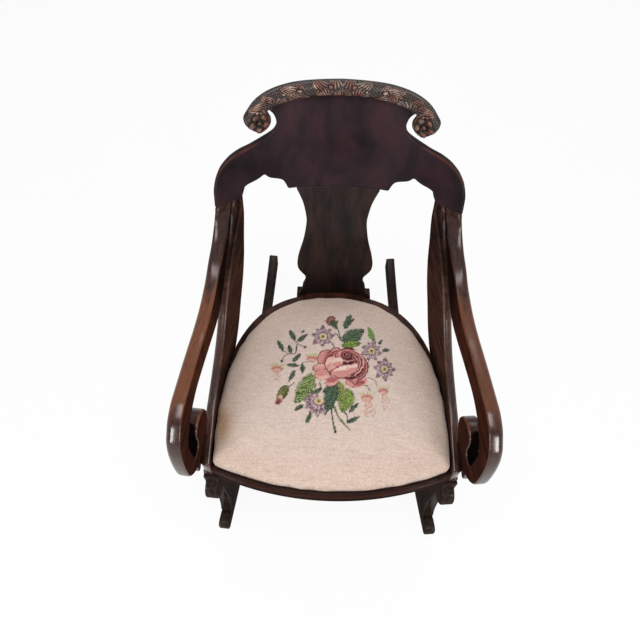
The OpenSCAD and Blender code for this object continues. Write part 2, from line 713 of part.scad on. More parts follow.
module seat_pad() color(jute) at_centre() {
    rings = dome_rings - pad_ring;
    points = dome(cover_t + glue_gap, dome_h - cover_t - glue_gap, pad_ring);
    polyhedron(points, concat(
        [[for (i = [0 : dome_sides - 1]) i]],
        skin(0, rings), cap((rings - 1) * dome_sides, len(points) - 1)));
}
module seat_cover() color(needlepoint) at_centre() {
    outer = dome(0, dome_h);
    inner = dome(cover_t, dome_h - cover_t);
    n = len(outer);
    lip = [for (i = [0 : dome_sides - 1], h = [0 : 1]) let (a = i, b = (i + 1) % dome_sides)
        h == 0 ? [a, b, b + n] : [a, b + n, a + n]];
    polyhedron(concat(outer, inner), concat(
        skin(0, dome_rings), cap((dome_rings - 1) * dome_sides, n - 1),
        flipped(concat(skin(n, dome_rings), cap(n + (dome_rings - 1) * dome_sides, 2 * n - 1))), lip));
}
module dust_cover() color(black_cloth) at_centre()
    difference() {
        translate([0, 0, dust_z]) linear_extrude(dust_t) rim_plan(cover_t);
        tack_row();
    }
tack_count = 20;
tack_r = 3;
tack_inset = 14;
tack_len = 9;
module tack_row()
    for (i = [0 : tack_count - 1]) let (p = rim_point(dome_sides * i / tack_count, tack_inset))
        translate([p[0], p[1], dust_z]) cylinder(r = tack_r, h = dust_t, $fn = 16);
module seat_tacks() color(steel) at_centre() tack_row();

crest_board();
crest_carving();
rosette(-1);  // left_rosette
rosette(1);  // right_rosette
splat();
splat_shoe();
stile(-1);  // left_stile
stile(1);  // right_stile
arm(-1);  // left_arm
arm(1);  // right_arm
scroll_block(-1);  // left_scroll_block
scroll_block(1);  // right_scroll_block
front_rail();
side_rail(-1);  // left_rail
side_rail(1);  // right_rail
back_rail();
front_block(-1);  // left_front_block
front_block(1);  // right_front_block
rear_block(-1);  // left_rear_block
rear_block(1);  // right_rear_block
block_screws();
front_leg(-1);  // left_front_leg
front_leg(1);  // right_front_leg
rear_leg(-1);  // left_rear_leg
rear_leg(1);  // right_rear_leg
rocker(-1);  // left_rocker
rocker(1);  // right_rocker
rocker_screws();
slip_front();
slip_back();
slip_side(-1);  // slip_left
slip_side(1);  // slip_right
webbing_long();
webbing_cross();
seat_pad();
seat_cover();
dust_cover();
seat_tacks();
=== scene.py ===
"""Rocking armchair with a gondola back: the looks of its wood, carving and needlepoint seat.

Lengths inside the shape functions are millimetres, with y measured from the front faces of the front
legs, z from the floor and +x to the right in the photo; metres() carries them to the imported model.
"""

import bmesh
import bpy
import numpy as np
from mathutils import Matrix, Vector
from mathutils.bvhtree import BVHTree
from mathutils.geometry import delaunay_2d_cdt


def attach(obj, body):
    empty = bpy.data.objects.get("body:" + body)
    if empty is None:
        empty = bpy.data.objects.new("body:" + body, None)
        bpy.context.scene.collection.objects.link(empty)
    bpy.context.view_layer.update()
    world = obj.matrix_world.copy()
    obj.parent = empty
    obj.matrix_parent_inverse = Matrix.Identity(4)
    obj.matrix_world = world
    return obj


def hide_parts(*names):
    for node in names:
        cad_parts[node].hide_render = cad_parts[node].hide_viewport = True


bl_info = {
    "name": "Gondola Rocking Chair",
    "version": (1, 0, 0),
    "blender": (4, 5, 0),
    "location": "View3D > Sidebar > Rocking Chair",
    "description": "Dresses a packed rocking armchair in carved mahogany and needlepoint",
    "category": "Add Mesh",
}

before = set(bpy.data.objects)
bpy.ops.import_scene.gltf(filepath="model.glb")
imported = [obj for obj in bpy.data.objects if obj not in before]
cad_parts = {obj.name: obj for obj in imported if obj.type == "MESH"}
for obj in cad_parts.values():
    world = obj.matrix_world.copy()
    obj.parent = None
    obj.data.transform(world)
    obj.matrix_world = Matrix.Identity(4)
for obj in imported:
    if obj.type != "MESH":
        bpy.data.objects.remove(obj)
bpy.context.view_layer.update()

# Heights of the rails, and the bow of the front one
RAIL_TOP, RAIL_BOTTOM, LEDGE = 409.0, 368.0, 399.0
BOW_R, BOW_Y = 675.0, -33.0
# The seat: its foot and rise, then its plan, a superellipse behind and an arc in front
SEAT_FOOT, SEAT_RISE, STITCH = 400.05, 68.0, 2.2
SEAT_HALF, SEAT_REAR, SEAT_POWER, WIDEST_Y, SEAT_MIDDLE_Y = 254.5, 357, 2.35, 100, 215
SEAT_FRONT_HALF, SEAT_FRONT_R = 251.5, 667
# The back: the cylinder of its face, the crest board, the splat and the carved band
RECLINE = np.radians(17.6)
BACK_Y, BACK_R, CREST_T, CREST_W, CREST_H, SPLAT_LEN, SPLAT_W, SPLAT_T = 488.6, 320, 24, 250, 230.5, 300, 95, 13
BAND_FRONT, ROSETTE_R = 14.0, 19.0
ROSETTE_AT = np.array([164.0, SPLAT_LEN + 0.689 * CREST_H])
# The sides: arms, which close in to the back by ARM_SPLAY, stiles and the arm's scroll
SIDE_RUN, ARM_RISE, ARM_HALF, ARM_T, STILE_RISE, STILE_T = 500, 246, 306.0, 29.0, 350, 22.0
ARM_SPLAY = np.arctan((305 - 255.1) / SIDE_RUN)
SCROLL_Y, SCROLL_Z, SCROLL_R = 45, RAIL_TOP + 100.1, 73
# Legs and runners. The runners toe in to the back, and the rear legs spread to them
TOE_IN, LEG_HALF, LEG_DEPTH, LEG_FOOT, LEG_T = np.radians(5.08), 266, 120, 79, 30.0
RUNNER_R, RUNNER_DEPTH, RUNNER_T, CONTACT_Y, TAIL, TOE_FRONT = 1200.0, 38.0, 27.0, 312.5, 825.0, -39
REAR_HALF, REAR_Y, REAR_RUN, REAR_DEPTH, REAR_T = 184, 385, 145, 44, 28.0
REAR_SPREAD = np.arctan((LEG_HALF - (REAR_Y + REAR_RUN) * np.tan(TOE_IN) - REAR_HALF) / REAR_RUN)
CENTRE_Y = (TOE_FRONT + TAIL * np.cos(TOE_IN)) / 2
GLUE = 0.3

# The camera: its place in working millimetres, its axes and its focal length in pixels of the photo
EYE = np.array([-30.917, -366.433, 1581.414])
FOCAL, SENSOR, PHOTO = 556.7346, 36.0, 640
YAW, PITCH, ROLL = -0.0027644, 0.9899137, 0.0257891
AHEAD = np.array([np.sin(YAW) * np.cos(PITCH), np.cos(YAW) * np.cos(PITCH), -np.sin(PITCH)])
_LEVEL = np.array([np.cos(YAW), -np.sin(YAW), 0.0])
_RISE = np.cross(_LEVEL, AHEAD)
RIGHTWARD = _LEVEL * np.cos(ROLL) + _RISE * np.sin(ROLL)
UPWARD = -_LEVEL * np.sin(ROLL) + _RISE * np.cos(ROLL)


# Lines and boards

def metres(co):
    """Working millimetres to the model's metres: y moves back by the middle of the chair's outline."""
    return (np.asarray(co, float) - [0.0, CENTRE_Y, 0.0]) * 0.001


def curve(points, steps=10):
    """A smooth line: on each span, the cubic that passes both ends in the direction of their neighbours."""
    p = np.asarray(points, float)
    q = np.vstack([p[:1], p, p[-1:]])
    a, b, c, d = (v[:, None, :] for v in (q[:-3], q[1:-2], q[2:-1], q[3:]))
    t = np.linspace(0, 1, steps, endpoint=False)[None, :, None]
    s = 0.5 * (2 * b + (c - a) * t + (2 * a - 5 * b + 4 * c - d) * t**2 + (3 * b - a - 3 * c + d) * t**3)
    return np.vstack([s.reshape(-1, p.shape[1]), p[-1:]])


def arc(centre, radius, start, end, steps=24):
    """Points of a circle from one angle to another, in degrees."""
    a = np.radians(np.linspace(start, end, steps))
    return np.asarray(centre, float) + radius * np.column_stack([np.cos(a), np.sin(a)])


def sized(shares, width, height, x0=0.0, y0=0.0):
    """Shares of a width and a height, as lengths from a corner."""
    return np.asarray(shares, float) * [width, height] + [x0, y0]


def running(line):
    """Length along a line at each of its points."""
    return np.r_[0, np.cumsum(np.linalg.norm(np.diff(line, axis=0), axis=1))]


def even(line, gap, closed=True):
    """The line with its points spaced evenly by length."""
    p = np.vstack([line, line[:1]]) if closed else np.asarray(line, float)
    run = running(p)
    count = max(int(round(run[-1] / gap)), 8)
    at = np.linspace(0, run[-1], count + (not closed), endpoint=not closed)
    return np.column_stack([np.interp(at, run, p[:, k]) for k in range(p.shape[1])])


def softened(p, times):
    """A closed line whose corners are eased: each point becomes a quarter, a half and a quarter of its run."""
    for _ in range(times):
        p = (np.roll(p, 1, 0) + 2 * p + np.roll(p, -1, 0)) / 4
    return p


def outward(p):
    """Unit normals of a closed line that turns left, square to the chord of the two neighbours."""
    d = np.roll(p, -1, 0) - np.roll(p, 1, 0)
    n = np.column_stack([d[:, 1], -d[:, 0]])
    return n / np.maximum(np.linalg.norm(n, axis=1), 1e-9)[:, None]


def inside(points, line):
    """Which points a closed line holds: a level ray from the point crosses the line an odd number of times."""
    x, y = points[:, :1], points[:, 1:]
    (x0, y0), (x1, y1) = line.T, np.roll(line, -1, 0).T
    at = x0 + (y - y0) * (x1 - x0) / np.where(y1 == y0, 1e-9, y1 - y0)
    return (((y0 > y) != (y1 > y)) & (x < at)).sum(1) % 2 == 1


def filled(line, cell):
    """Triangles over a closed line, with a lattice of points inside it. Returns points, faces and, for each
    point, the number of the line's point that it is, or -1."""
    lo, hi = line.min(0), line.max(0)
    g = np.stack(np.meshgrid(np.arange(lo[0], hi[0], cell), np.arange(lo[1], hi[1], cell * 0.87)), -1).reshape(-1, 2)
    g = g[inside(g, line)]
    if len(g):
        g = g[np.linalg.norm(g[:, None] - line[None], axis=2).min(1) > cell * 0.45]
    co = np.vstack([line, g]) if len(g) else line
    n = len(line)
    ring = [(i, (i + 1) % n) for i in range(n)]
    v, _, faces, origin, _, _ = delaunay_2d_cdt([Vector(c) for c in co], ring, [list(range(n))], 1, 1e-5)
    back = np.array([min((o for o in group if o < n), default=-1) for group in origin])
    return np.array([tuple(c) for c in v]), faces, back


def grid_faces(rows, columns, wrap):
    """Quads between the rows of a grid, joined round at the last column if wrap."""
    r = np.arange(rows - 1)[:, None]
    c = np.arange(columns if wrap else columns - 1)[None]
    d = (c + 1) % columns
    corners = [r * columns + c, r * columns + d, (r + 1) * columns + d, (r + 1) * columns + c]
    return np.stack(corners, -1).reshape(-1, 4)


def tube_faces(rows, columns):
    """Quads round the rings of a tube, and a face over each end."""
    ends = [list(range(columns))[::-1], list(range((rows - 1) * columns, rows * columns))]
    return [list(f) for f in grid_faces(rows, columns, True)] + ends


def border(n):
    """Numbers of the points round the edge of an n by n grid."""
    back = np.arange(n - 2, -1, -1)
    return np.r_[np.arange(n), np.arange(1, n) * n + n - 1, (n - 1) * n + back, back[:-1] * n]


def step(v, low, high):
    """0 below low, 1 above high, eased by a cubic."""
    t = np.clip((v - low) / (high - low), 0, 1)
    return t * t * (3 - 2 * t)


def piece(name, co, faces, finish, slot, body="frame", **attributes):
    """A mesh object from working millimetres, riding on a body. Attributes are one value or vector a point."""
    mesh = bpy.data.meshes.new(name)
    mesh.from_pydata(metres(co).tolist(), [], [list(f) for f in faces])
    for key, values in attributes.items():
        values = np.asarray(values, np.float32)
        kind, field = {1: ("FLOAT", "value"), 3: ("FLOAT_VECTOR", "vector"), 4: ("FLOAT_COLOR", "color")}[
            1 if values.ndim == 1 else values.shape[1]]
        mesh.attributes.new(key, kind, "POINT").data.foreach_set(field, values.ravel())
    bm = bmesh.new()
    bm.from_mesh(mesh)
    bmesh.ops.recalc_face_normals(bm, faces=bm.faces)
    bm.to_mesh(mesh)
    bm.free()
    mesh.polygons.foreach_set("use_smooth", np.ones(len(mesh.polygons), bool))
    mesh.materials.append(finish)
    made = bpy.data.objects.new(name, mesh)
    bpy.context.scene.collection.objects.link(made)
    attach(made, body)
    return made


def along(value, p, n):
    """A value that may change along a line: called with the line's points and normals, or one number."""
    return value(p, n) if callable(value) else np.full(len(p), float(value))


def sawn(line, place, thick, near, far, gap=3.0, ease=2, draw=(0.0, 0.0)):
    """A board sawn to a closed line, with rounded arrises. Each ring is the line drawn in by r(1 - sin a) at a
    depth of r(1 - cos a), for a from 0 on the face to a right angle on the edge, and draw pulls the near and
    far sides further in; the faces are filled with triangles. place(a, b, depth) carries the flat board to the
    chair. Returns points, faces, the board's own coordinates and how near each point is to an arris."""
    area = np.sum(line[:, 0] * np.roll(line[:, 1], -1) - line[:, 1] * np.roll(line[:, 0], -1))
    p = softened(even(line if area > 0 else line[::-1], gap), ease)
    n = outward(p)
    near, far, pull, push = (along(v, p, n)[None] for v in (near, far, *draw))
    cell, lip = 16.0, 2.5
    a = np.radians([0, 18, 36, 54, 72, 90])[:, None]
    b = a[::-1]
    inset = np.vstack([near + lip, near * (1 - np.sin(a)), 0 * near, far * (1 - np.sin(b)), far + lip])
    depth = np.vstack([0 * near, near * (1 - np.cos(a)), (near + thick - far) / 2, thick - far * (1 - np.cos(b)),
                       0 * far + thick])
    inset = inset + pull + (push - pull) * depth / thick
    flat = p[None] - n[None] * inset[:, :, None]
    rows, columns = depth.shape
    boards = [np.column_stack([flat.reshape(-1, 2), depth.ravel()])]
    faces = [list(f) for f in grid_faces(rows, columns, True)]
    edge = np.r_[0, 0.3, 0.8, 1, 1, 0.8, 0.4, 0, 0.4, 0.8, 1, 1, 0.8, 0.3, 0]
    near_arris = [np.repeat(edge, columns)]
    count = rows * columns
    for row in (0, rows - 1):
        v, tris, back = filled(flat[row], cell)
        number = np.where(back >= 0, row * columns + back, 0)
        new = back < 0
        number[new] = count + np.arange(new.sum())
        count += new.sum()
        boards.append(np.column_stack([v[new], np.full(new.sum(), depth[row, 0])]))
        near_arris.append(np.zeros(new.sum()))
        faces += [[number[i] for i in f] for f in tris]
    board = np.vstack(boards)
    return place(*board.T), faces, board * 0.001, np.concatenate(near_arris)


def swept(section, path):
    """A closed section carried along a path: point = path(s, section point). Both ends are closed with a face."""
    co = path(section)
    return co.reshape(-1, 3), tube_faces(*co.shape[:2])


# Where boards stand in the chair

def stile_x(y):
    """Half distance between the stiles' inner faces: it closes in as a power of the way back."""
    half, closing, start, run, power, most = 257.0, 51.0, 130.0, 387.0, 1.25, 49.5
    return half - np.minimum(closing * (np.maximum(y - start, 0) / run) ** power, most)


def on_back(x, u, front):
    """Place on the curved back: x across, u up the back, front before its face. The face is a cylinder of
    radius BACK_R, and the whole leans back by RECLINE."""
    w = BACK_R - np.sqrt(np.maximum((BACK_R - front) ** 2 - x**2, 1))
    return np.column_stack([x, BACK_Y + u * np.sin(RECLINE) - w * np.cos(RECLINE),
                            RAIL_TOP + u * np.cos(RECLINE) + w * np.sin(RECLINE)])


def in_plane(half, angle, side):
    """Place of a flat upright board whose outer face starts at x = half and closes in by angle to the back."""
    def place(a, b, d):
        x = half - d * np.cos(angle) - a * np.sin(angle)
        return np.column_stack([side * x, a * np.cos(angle) - d * np.sin(angle), b])
    return place


def up_back(line):
    """How far up the back a point of a side view lies."""
    return (line[:, 0] - BACK_Y) * np.sin(RECLINE) + (line[:, 1] - RAIL_TOP) * np.cos(RECLINE)


def below_joint(line):
    """The part of a closed side view below the crest's shoulders, and a tenon's length above their joint."""
    dense, tenon = even(line, 0.5), 8
    return dense[up_back(dense) <= SPLAT_LEN + tenon]


def drawn_back(depth):
    """How far a plank's front is drawn back, so that it meets the curved face of the crest's shoulder."""
    def draw(p, n):
        start = 190
        forward = np.clip(n @ [-np.cos(RECLINE), np.sin(RECLINE)] * 1.3, 0, 1)
        return forward * depth * step(up_back(p), start, SPLAT_LEN)
    return draw


def behind_crest(place):
    """The same place, with no point near the joint standing before the curved face of the crest."""
    def held(a, b, d):
        margin, blend = 1.5, 40
        co = place(a, b, d)
        y, z = co[:, 1] - BACK_Y, co[:, 2] - RAIL_TOP
        face = BACK_R - np.sqrt(BACK_R**2 - co[:, 0] ** 2) - margin
        over = np.maximum(z * np.sin(RECLINE) - y * np.cos(RECLINE) - face, 0)
        over = over * step(up_back(co[:, 1:]), SPLAT_LEN - blend, SPLAT_LEN)
        return co + over[:, None] * [0, np.cos(RECLINE), -np.sin(RECLINE)]
    return held


def on_crest(shares):
    """Points of the crest board, from shares of its size."""
    return sized(shares, CREST_W, CREST_H, 0, SPLAT_LEN)


def both_sides(half):
    """A half outline from the middle's bottom round to the middle's top, closed by its mirror image."""
    return np.vstack([half, (half * [-1, 1])[::-1]])


# Outlines as shares of the size they follow
CREST_LOWER = [[0, 0], [0.44, 0], [0.452, 0.006]]
CREST_STEP = [[0.452, 0.006], [0.468, 0.05], [0.504, 0.102], [0.604, 0.141], [0.648, 0.184]]
CREST_PIT = [[0.648, 0.184], [0.7, 0.15], [0.8, 0.113], [0.824, 0.044], [0.834, 0.013]]
CREST_SHOULDER = [[1.035, 0.013], [1.035, 0.1], [1.03, 0.2], [0.998, 0.318], [0.93, 0.398], [0.85, 0.444],
                  [0.745, 0.478], [0.58, 0.562], [0.538, 0.634], [0.54, 0.686], [0.56, 0.735], [0.592, 0.769]]
CREST_TOP = [[0.61, 0.86], [0.524, 0.908], [0.428, 0.938], [0.328, 0.956], [0.168, 0.967], [0, 0.971]]
BAND_OUTER = [[0, 0.993], [0.168, 0.989], [0.332, 0.982], [0.436, 0.97], [0.548, 0.944], [0.636, 0.907],
              [0.704, 0.858], [0.752, 0.796], [0.784, 0.734], [0.764, 0.655], [0.708, 0.611], [0.66, 0.592]]
BAND_INNER = [[0, 0.871], [0.208, 0.864], [0.332, 0.851], [0.416, 0.837], [0.504, 0.816], [0.556, 0.781],
              [0.592, 0.778], [0.6, 0.755], [0.579, 0.707], [0.579, 0.655], [0.61, 0.611], [0.66, 0.592]]
SPLAT_FOOT = [[1, 0], [0.853, 0.06], [0.837, 0.101], [0.774, 0.139], [0.767, 0.187]]
SPLAT_BODY = [[0.767, 0.187], [0.942, 0.264], [0.979, 0.332], [0.937, 0.412], [0.821, 0.541], [0.751, 0.687],
              [0.763, 0.762], [0.842, 0.879], [1, 1]]
STILE_FRONT = [[1.02, 1.15], [0.974, 1.027], [0.872, 0.9], [0.74, 0.731], [0.642, 0.597], [0.57, 0.491],
               [0.5, 0.406], [0.42, 0.334], [0.336, 0.274], [0.272, 0.24], [0.16, 0.2], [0.03, 0.166]]
STILE_REAR = [[0.42, 0], [0.5, 0.02], [0.6, 0.077], [0.72, 0.186], [0.824, 0.352], [0.89, 0.463],
              [0.944, 0.597], [0.978, 0.729], [1.016, 0.869], [1.036, 1.011], [1.06, 1.183]]
ARM_TOP = [[1.01, 1.53], [0.965, 1.43], [0.924, 1.327], [0.886, 1.258], [0.812, 1.168], [0.726, 1.107], [0.652, 1.041],
           [0.544, 0.992], [0.438, 0.984], [0.376, 0.992], [0.282, 1.002], [0.176, 1.008], [0.118, 1.008],
           [0.076, 0.988], [0.04, 0.955], [0.008, 0.898], [-0.02, 0.837], [-0.04, 0.74], [-0.051, 0.62],
           [-0.0555, 0.5], [-0.056, 0.42]]
ARM_UNDER = [[0.024, 0.42], [0.024, 0.561], [0.034, 0.626], [0.058, 0.679], [0.088, 0.724], [0.13, 0.765],
             [0.18, 0.79], [0.24, 0.8], [0.33, 0.785], [0.42, 0.762], [0.5, 0.742], [0.57, 0.736],
             [0.64, 0.765], [0.72, 0.85], [0.82, 1], [0.92, 1.16], [1.02, 1.34], [1.14, 1.56]]
LEG_FRONT = [[0.08, -0.2], [0.09, -0.04], [0.14, 0.02], [0.19, 0.115], [0.215, 0.26], [0.2, 0.45],
             [0.18, 0.57], [0.183, 0.651]]
LEG_REAR = [[1.017, 1], [0.933, 0.804], [0.85, 0.49], [0.833, 0.21], [0.9, 0], [1, -0.2]]
REAR_LEG = [[1.28, 0], [0.98, 0.14], [0.7, 0.3], [0.42, 0.5], [0.12, 0.78], [0, 1.05]]
DOME = [[0, 1], [0.33, 0.98], [0.58, 0.93], [0.76, 0.85], [0.88, 0.76], [0.95, 0.67], [0.98, 0.59],
        [0.994, 0.5], [1, 0.4], [1, 0.2], [1, 0]]


# Shader maths

class Value:
    """A node socket that adds Math nodes when it is used in an expression."""

    def __init__(self, finish, socket):
        self.finish, self.socket = finish, socket

    def _math(self, operation, first, second):
        return self.finish.node("Math", {"operation": operation}, {0: first, 1: second})

    def __add__(self, other):
        return self._math("ADD", self, other)

    def __sub__(self, other):
        return self._math("SUBTRACT", self, other)

    def __mul__(self, other):
        return self._math("MULTIPLY", self, other)

    def __rsub__(self, other):
        return self._math("SUBTRACT", other, self)

    __radd__ = __add__

    def sibling(self, output):
        """Another output of the same node."""
        return Value(self.finish, self.socket.node.outputs[output])


class Finish:
    """A material on a Principled shader. put() sets or links its sockets, and node() adds any other node."""

    def __init__(self, name, **constants):
        self.material = bpy.data.materials.new(name)
        self.material.use_nodes = True
        self.tree = self.material.node_tree
        self.shader = self.tree.nodes["Principled BSDF"]
        self.put(**constants)

    def feed(self, socket, value):
        """Links a Value to a socket, or sets the socket to a constant."""
        if isinstance(value, Value):
            self.tree.links.new(value.socket, socket)
        else:
            socket.default_value = value

    def put(self, **inputs):
        """Feeds the shader's sockets, named in lower case with underscores."""
        for key, value in inputs.items():
            self.feed(self.shader.inputs[key.replace("_", " ").title().replace("Ior", "IOR")], value)
        return self

    def node(self, kind, settings=(), inputs=(), out=0):
        """A node of a kind with its settings and inputs, as the Value of one output."""
        made = self.tree.nodes.new("ShaderNode" + kind)
        for key, value in dict(settings).items():
            setattr(made, key, value)
        for key, value in dict(inputs).items():
            self.feed(made.inputs[key], value)
        return Value(self, made.outputs[out])

    def spot(self):
        """Object coordinates."""
        return self.node("TexCoord", out=3)

    def attribute(self, name, out="Fac"):
        """An attribute of the mesh by name."""
        return self.node("Attribute", {"attribute_name": name}, out=out)

    def stretched(self, source, scale):
        """Coordinates times a scale on each axis."""
        return self.node("Mapping", {}, {"Vector": source, "Scale": scale})

    def noise(self, vector, scale, detail=3.0, rough=0.55, twist=0.0):
        """A noise from about 0.2 to 0.8, with its middle at 0.5."""
        return self.node("TexNoise", {}, {"Vector": vector, "Scale": scale, "Detail": detail, "Roughness": rough,
                                          "Distortion": twist})

    def between(self, value, low, high):
        """0 below low and 1 above high, eased."""
        ends = {"Value": value, "From Min": low, "From Max": high}
        return self.node("MapRange", {"interpolation_type": "SMOOTHSTEP"}, ends)

    def ridges(self, value, pitch):
        """A sine of the value that repeats at the pitch."""
        return self.node("Math", {"operation": "SINE"}, {0: value * (2 * np.pi / pitch)})

    def mix(self, factor, first, second, blend="MIX"):
        """The first colour at factor 0 and the second, by the blend, at 1."""
        return self.node("Mix", {"data_type": "RGBA", "blend_type": blend}, {0: factor, 6: first, 7: second}, 2)

    def bump(self, height, distance, strength):
        """Normals of a relief whose height runs over the distance, in metres."""
        return self.node("Bump", {}, {"Height": height, "Distance": distance, "Strength": strength})


def linear(*colour):
    """Colours written as they look, 0 to 255, as the renderer's linear light: one from three numbers, or rows."""
    c = np.array(colour if len(colour) > 1 else colour[0], float) / 255
    c = np.where(c <= 0.04045, c / 12.92, ((c + 0.055) / 1.055) ** 2.4)
    return np.column_stack([c, np.ones(len(c))]) if c.ndim > 1 else (*c.tolist(), 1.0)


def shaded(colour, share):
    """A share of a colour's light."""
    return (*(share * v for v in colour[:3]), 1.0)


def polished_wood(name, dark, light, worn, board=True, grain=(9, 150, 150), rub=0.75, coat=0.15, pitted=0.5):
    """Old polished mahogany. Colour runs between dark and light in bands along the grain, is cut by short
    pores, and turns to the worn colour where the piece's wear attribute and a blotchy noise say so; on some
    pieces that worn colour is a painted highlight. Where the attribute is below 0 the wood turns near black,
    for grime and for painted shade. The gloss attribute says where the polish still shines."""
    f = Finish(name, coat_roughness=0.2, coat_ior=1.5, specular_ior_level=0.0)
    source = f.attribute("plank", "Vector") if board else f.spot()
    bands = f.noise(f.stretched(source, grain), 1.0, 5.0, 0.6, 0.6)
    pores = f.noise(f.stretched(source, tuple(5.5 * g for g in grain)), 1.0, 2.0, 0.6)
    blotch = f.noise(source, 14.0, 4.0, 0.6)
    smoke = f.noise(source, 7.0, 3.0, 0.5)
    colour = f.mix(f.between(bands, 0.3, 0.7), dark, light)
    colour = f.mix(f.between(blotch, 0.4, 0.75) * 0.5, colour, dark)
    colour = f.mix(f.between(smoke, 0.5, 0.68) * 0.6, colour, shaded(dark, 0.62))
    colour = f.mix(f.between(pores, 0.6, 0.72) * pitted, colour, (0.004, 0.002, 0.002, 1))
    wear = f.attribute("wear")
    rubbed = f.between(wear + (f.noise(source, 22.0, 5.0, 0.65) - 0.5) * 0.9, 0.3, 1.0)
    ringed = f.noise(f.stretched(source, tuple(2.2 * g for g in grain)), 1.0, 3.0, 0.7, 1.6)
    bare = f.mix(f.between(ringed, 0.35, 0.7) * 0.7, worn, shaded(worn, 0.42))
    colour = f.mix(rubbed * rub, colour, f.mix(f.between(pores, 0.55, 0.7) * 0.4, bare, dark))
    # Below 0, wear turns the wood near black: grime, and painted shade in recesses and gaps
    colour = f.mix(f.between(wear * -1, 0.0, 1.0), colour, (0.003, 0.002, 0.002, 1))
    if board:
        coat = f.attribute("gloss") * (1 - f.between(wear * -1, 0.1, 0.6)) * coat
    f.put(base_color=colour, roughness=0.42 + (blotch - 0.5) * 0.3, coat_weight=coat)
    return f.put(normal=f.bump(pores * 0.5 + bands * 0.3, 0.0003, 0.2)).material


def plain_finish(name, first, second, scale, roughness, metallic=0.0, relief=0.0):
    """A plain finish with two close colours in a fine noise: raw wood, steel or cloth."""
    f = Finish(name, metallic=metallic)
    source = f.spot()
    grain = f.noise(f.stretched(source, scale), 1.0, 4.0, 0.6)
    f.put(base_color=f.mix(f.between(grain, 0.3, 0.7), first, second), roughness=grain * 0.2 + roughness)
    if relief:
        f.put(normal=f.bump(grain, relief, 0.6))
    return f.material


def woven(name, first, second, pitch):
    """Plain-woven cloth: two crossed sine ridges on Object coordinates, one colour over the other."""
    f = Finish(name, sheen_weight=0.15)
    x = f.node("SeparateXYZ", {}, {0: f.spot()})
    cloth = f.ridges(x, pitch) * f.ridges(x.sibling(1), pitch) * 0.5 + 0.5
    f.put(base_color=f.mix(cloth, first, second), roughness=0.85)
    return f.put(normal=f.bump(cloth, pitch * 0.2, 0.7)).material


# Pieces

def tones(context, *names):
    """Colours of the panel by name."""
    return [shaded(getattr(context.scene.chair_colours, name), 1) for name in names]


def lengths(context, *names):
    """Sizes of the panel by name, in millimetres."""
    return [getattr(context.scene.chair_sizes, name) * 1000 for name in names]


def add_wear(made, wear):
    """Stores how worn each point is: 1 is bare wood, and below 0 turns it near black, which paints shade in recesses
    as well as grime. On some pieces the wear also paints a highlight.
    """
    attribute = made.data.attributes.get("wear") or made.data.attributes.new("wear", "FLOAT", "POINT")
    attribute.data.foreach_set("value", np.asarray(wear, np.float32))


def facing(made):
    """The points and normals of a piece, in working millimetres."""
    n = len(made.data.vertices)
    co, normal = np.empty(n * 3, np.float32), np.empty(n * 3, np.float32)
    made.data.vertices.foreach_get("co", co)
    made.data.vertex_normals.foreach_get("vector", normal)
    return co.reshape(-1, 3) * 1000 + [0, CENTRE_Y, 0], normal.reshape(-1, 3)


def board_piece(name, nodes, finish, shape, wear=None, flat=0.0):
    """A sawn board as a piece that stands for CAD nodes, worn on its arrises. Its sawn sides, which face
    along x, lose the share flat of their gloss."""
    co, faces, plank, arris = shape
    made = piece(name, co, faces, finish, "mahogany", plank=plank, gloss=np.ones(len(co)))
    at, normal = facing(made)
    gloss = 1 - flat * step(np.abs(normal[:, 0]), 0.75, 0.97)
    made.data.attributes["gloss"].data.foreach_set("value", gloss.astype(np.float32))
    add_wear(made, arris * 0.4 + (wear(at, normal) if wear else 0))
    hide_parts(*nodes)


def splat_line():
    """The splat's outline, its foot and then its waisted body."""
    return both_sides(np.vstack([curve(sized(part, SPLAT_W, SPLAT_LEN), 6) for part in (SPLAT_FOOT, SPLAT_BODY)]))


def crest_line():
    """The crest board's outline, from the splat round the shoulder to the top."""
    return both_sides(np.vstack([on_crest(CREST_LOWER), curve(on_crest(CREST_STEP)), curve(on_crest(CREST_PIT)),
                                 curve(on_crest(CREST_SHOULDER)), curve(on_crest(CREST_TOP))]))


# Leaves of the band: base along and across it, lean and spread in degrees, reach, ribs
LEAVES = [(14, 60, 0, 80, 36, 6), (52, 60, -22, 74, 40, 6), (78, 60, 14, 60, 34, 5), (112, 60, -26, 74, 40, 6),
          (142, 60, 10, 60, 36, 5), (174, 60, -20, 74, 38, 6), (206, 58, -10, 70, 36, 6), (222, -2, -46, 76, 44, 6),
          (192, -4, -22, 84, 40, 7), (162, -5, -52, 62, 54, 7), (130, -5, -50, 62, 56, 7), (98, -4, 2, 104, 36, 8),
          (68, -5, 50, 54, 46, 5), (64, -4, -48, 62, 46, 6), (36, -4, 10, 92, 38, 7), (0, -4, 0, 128, 33, 11)]
# Berries of the band: along and across it, and radius
LUMPS = [(23, 31, 5.0), (85, 31, 5.4), (50, 25, 3.2), (116, 34, 4.0), (147, 32, 4.2), (178, 30, 4.0), (205, 27, 3.6)]
# The band's section: share of its width, and height
BAND_SECTION = [[0, -4], [0, 3], [0.05, 8.6], [0.18, 11.6], [0.42, 12.8], [0.66, 12.4], [0.84, 9.6], [0.95, 5],
                [1, -1.5], [1, -9], [0.96, -10]]


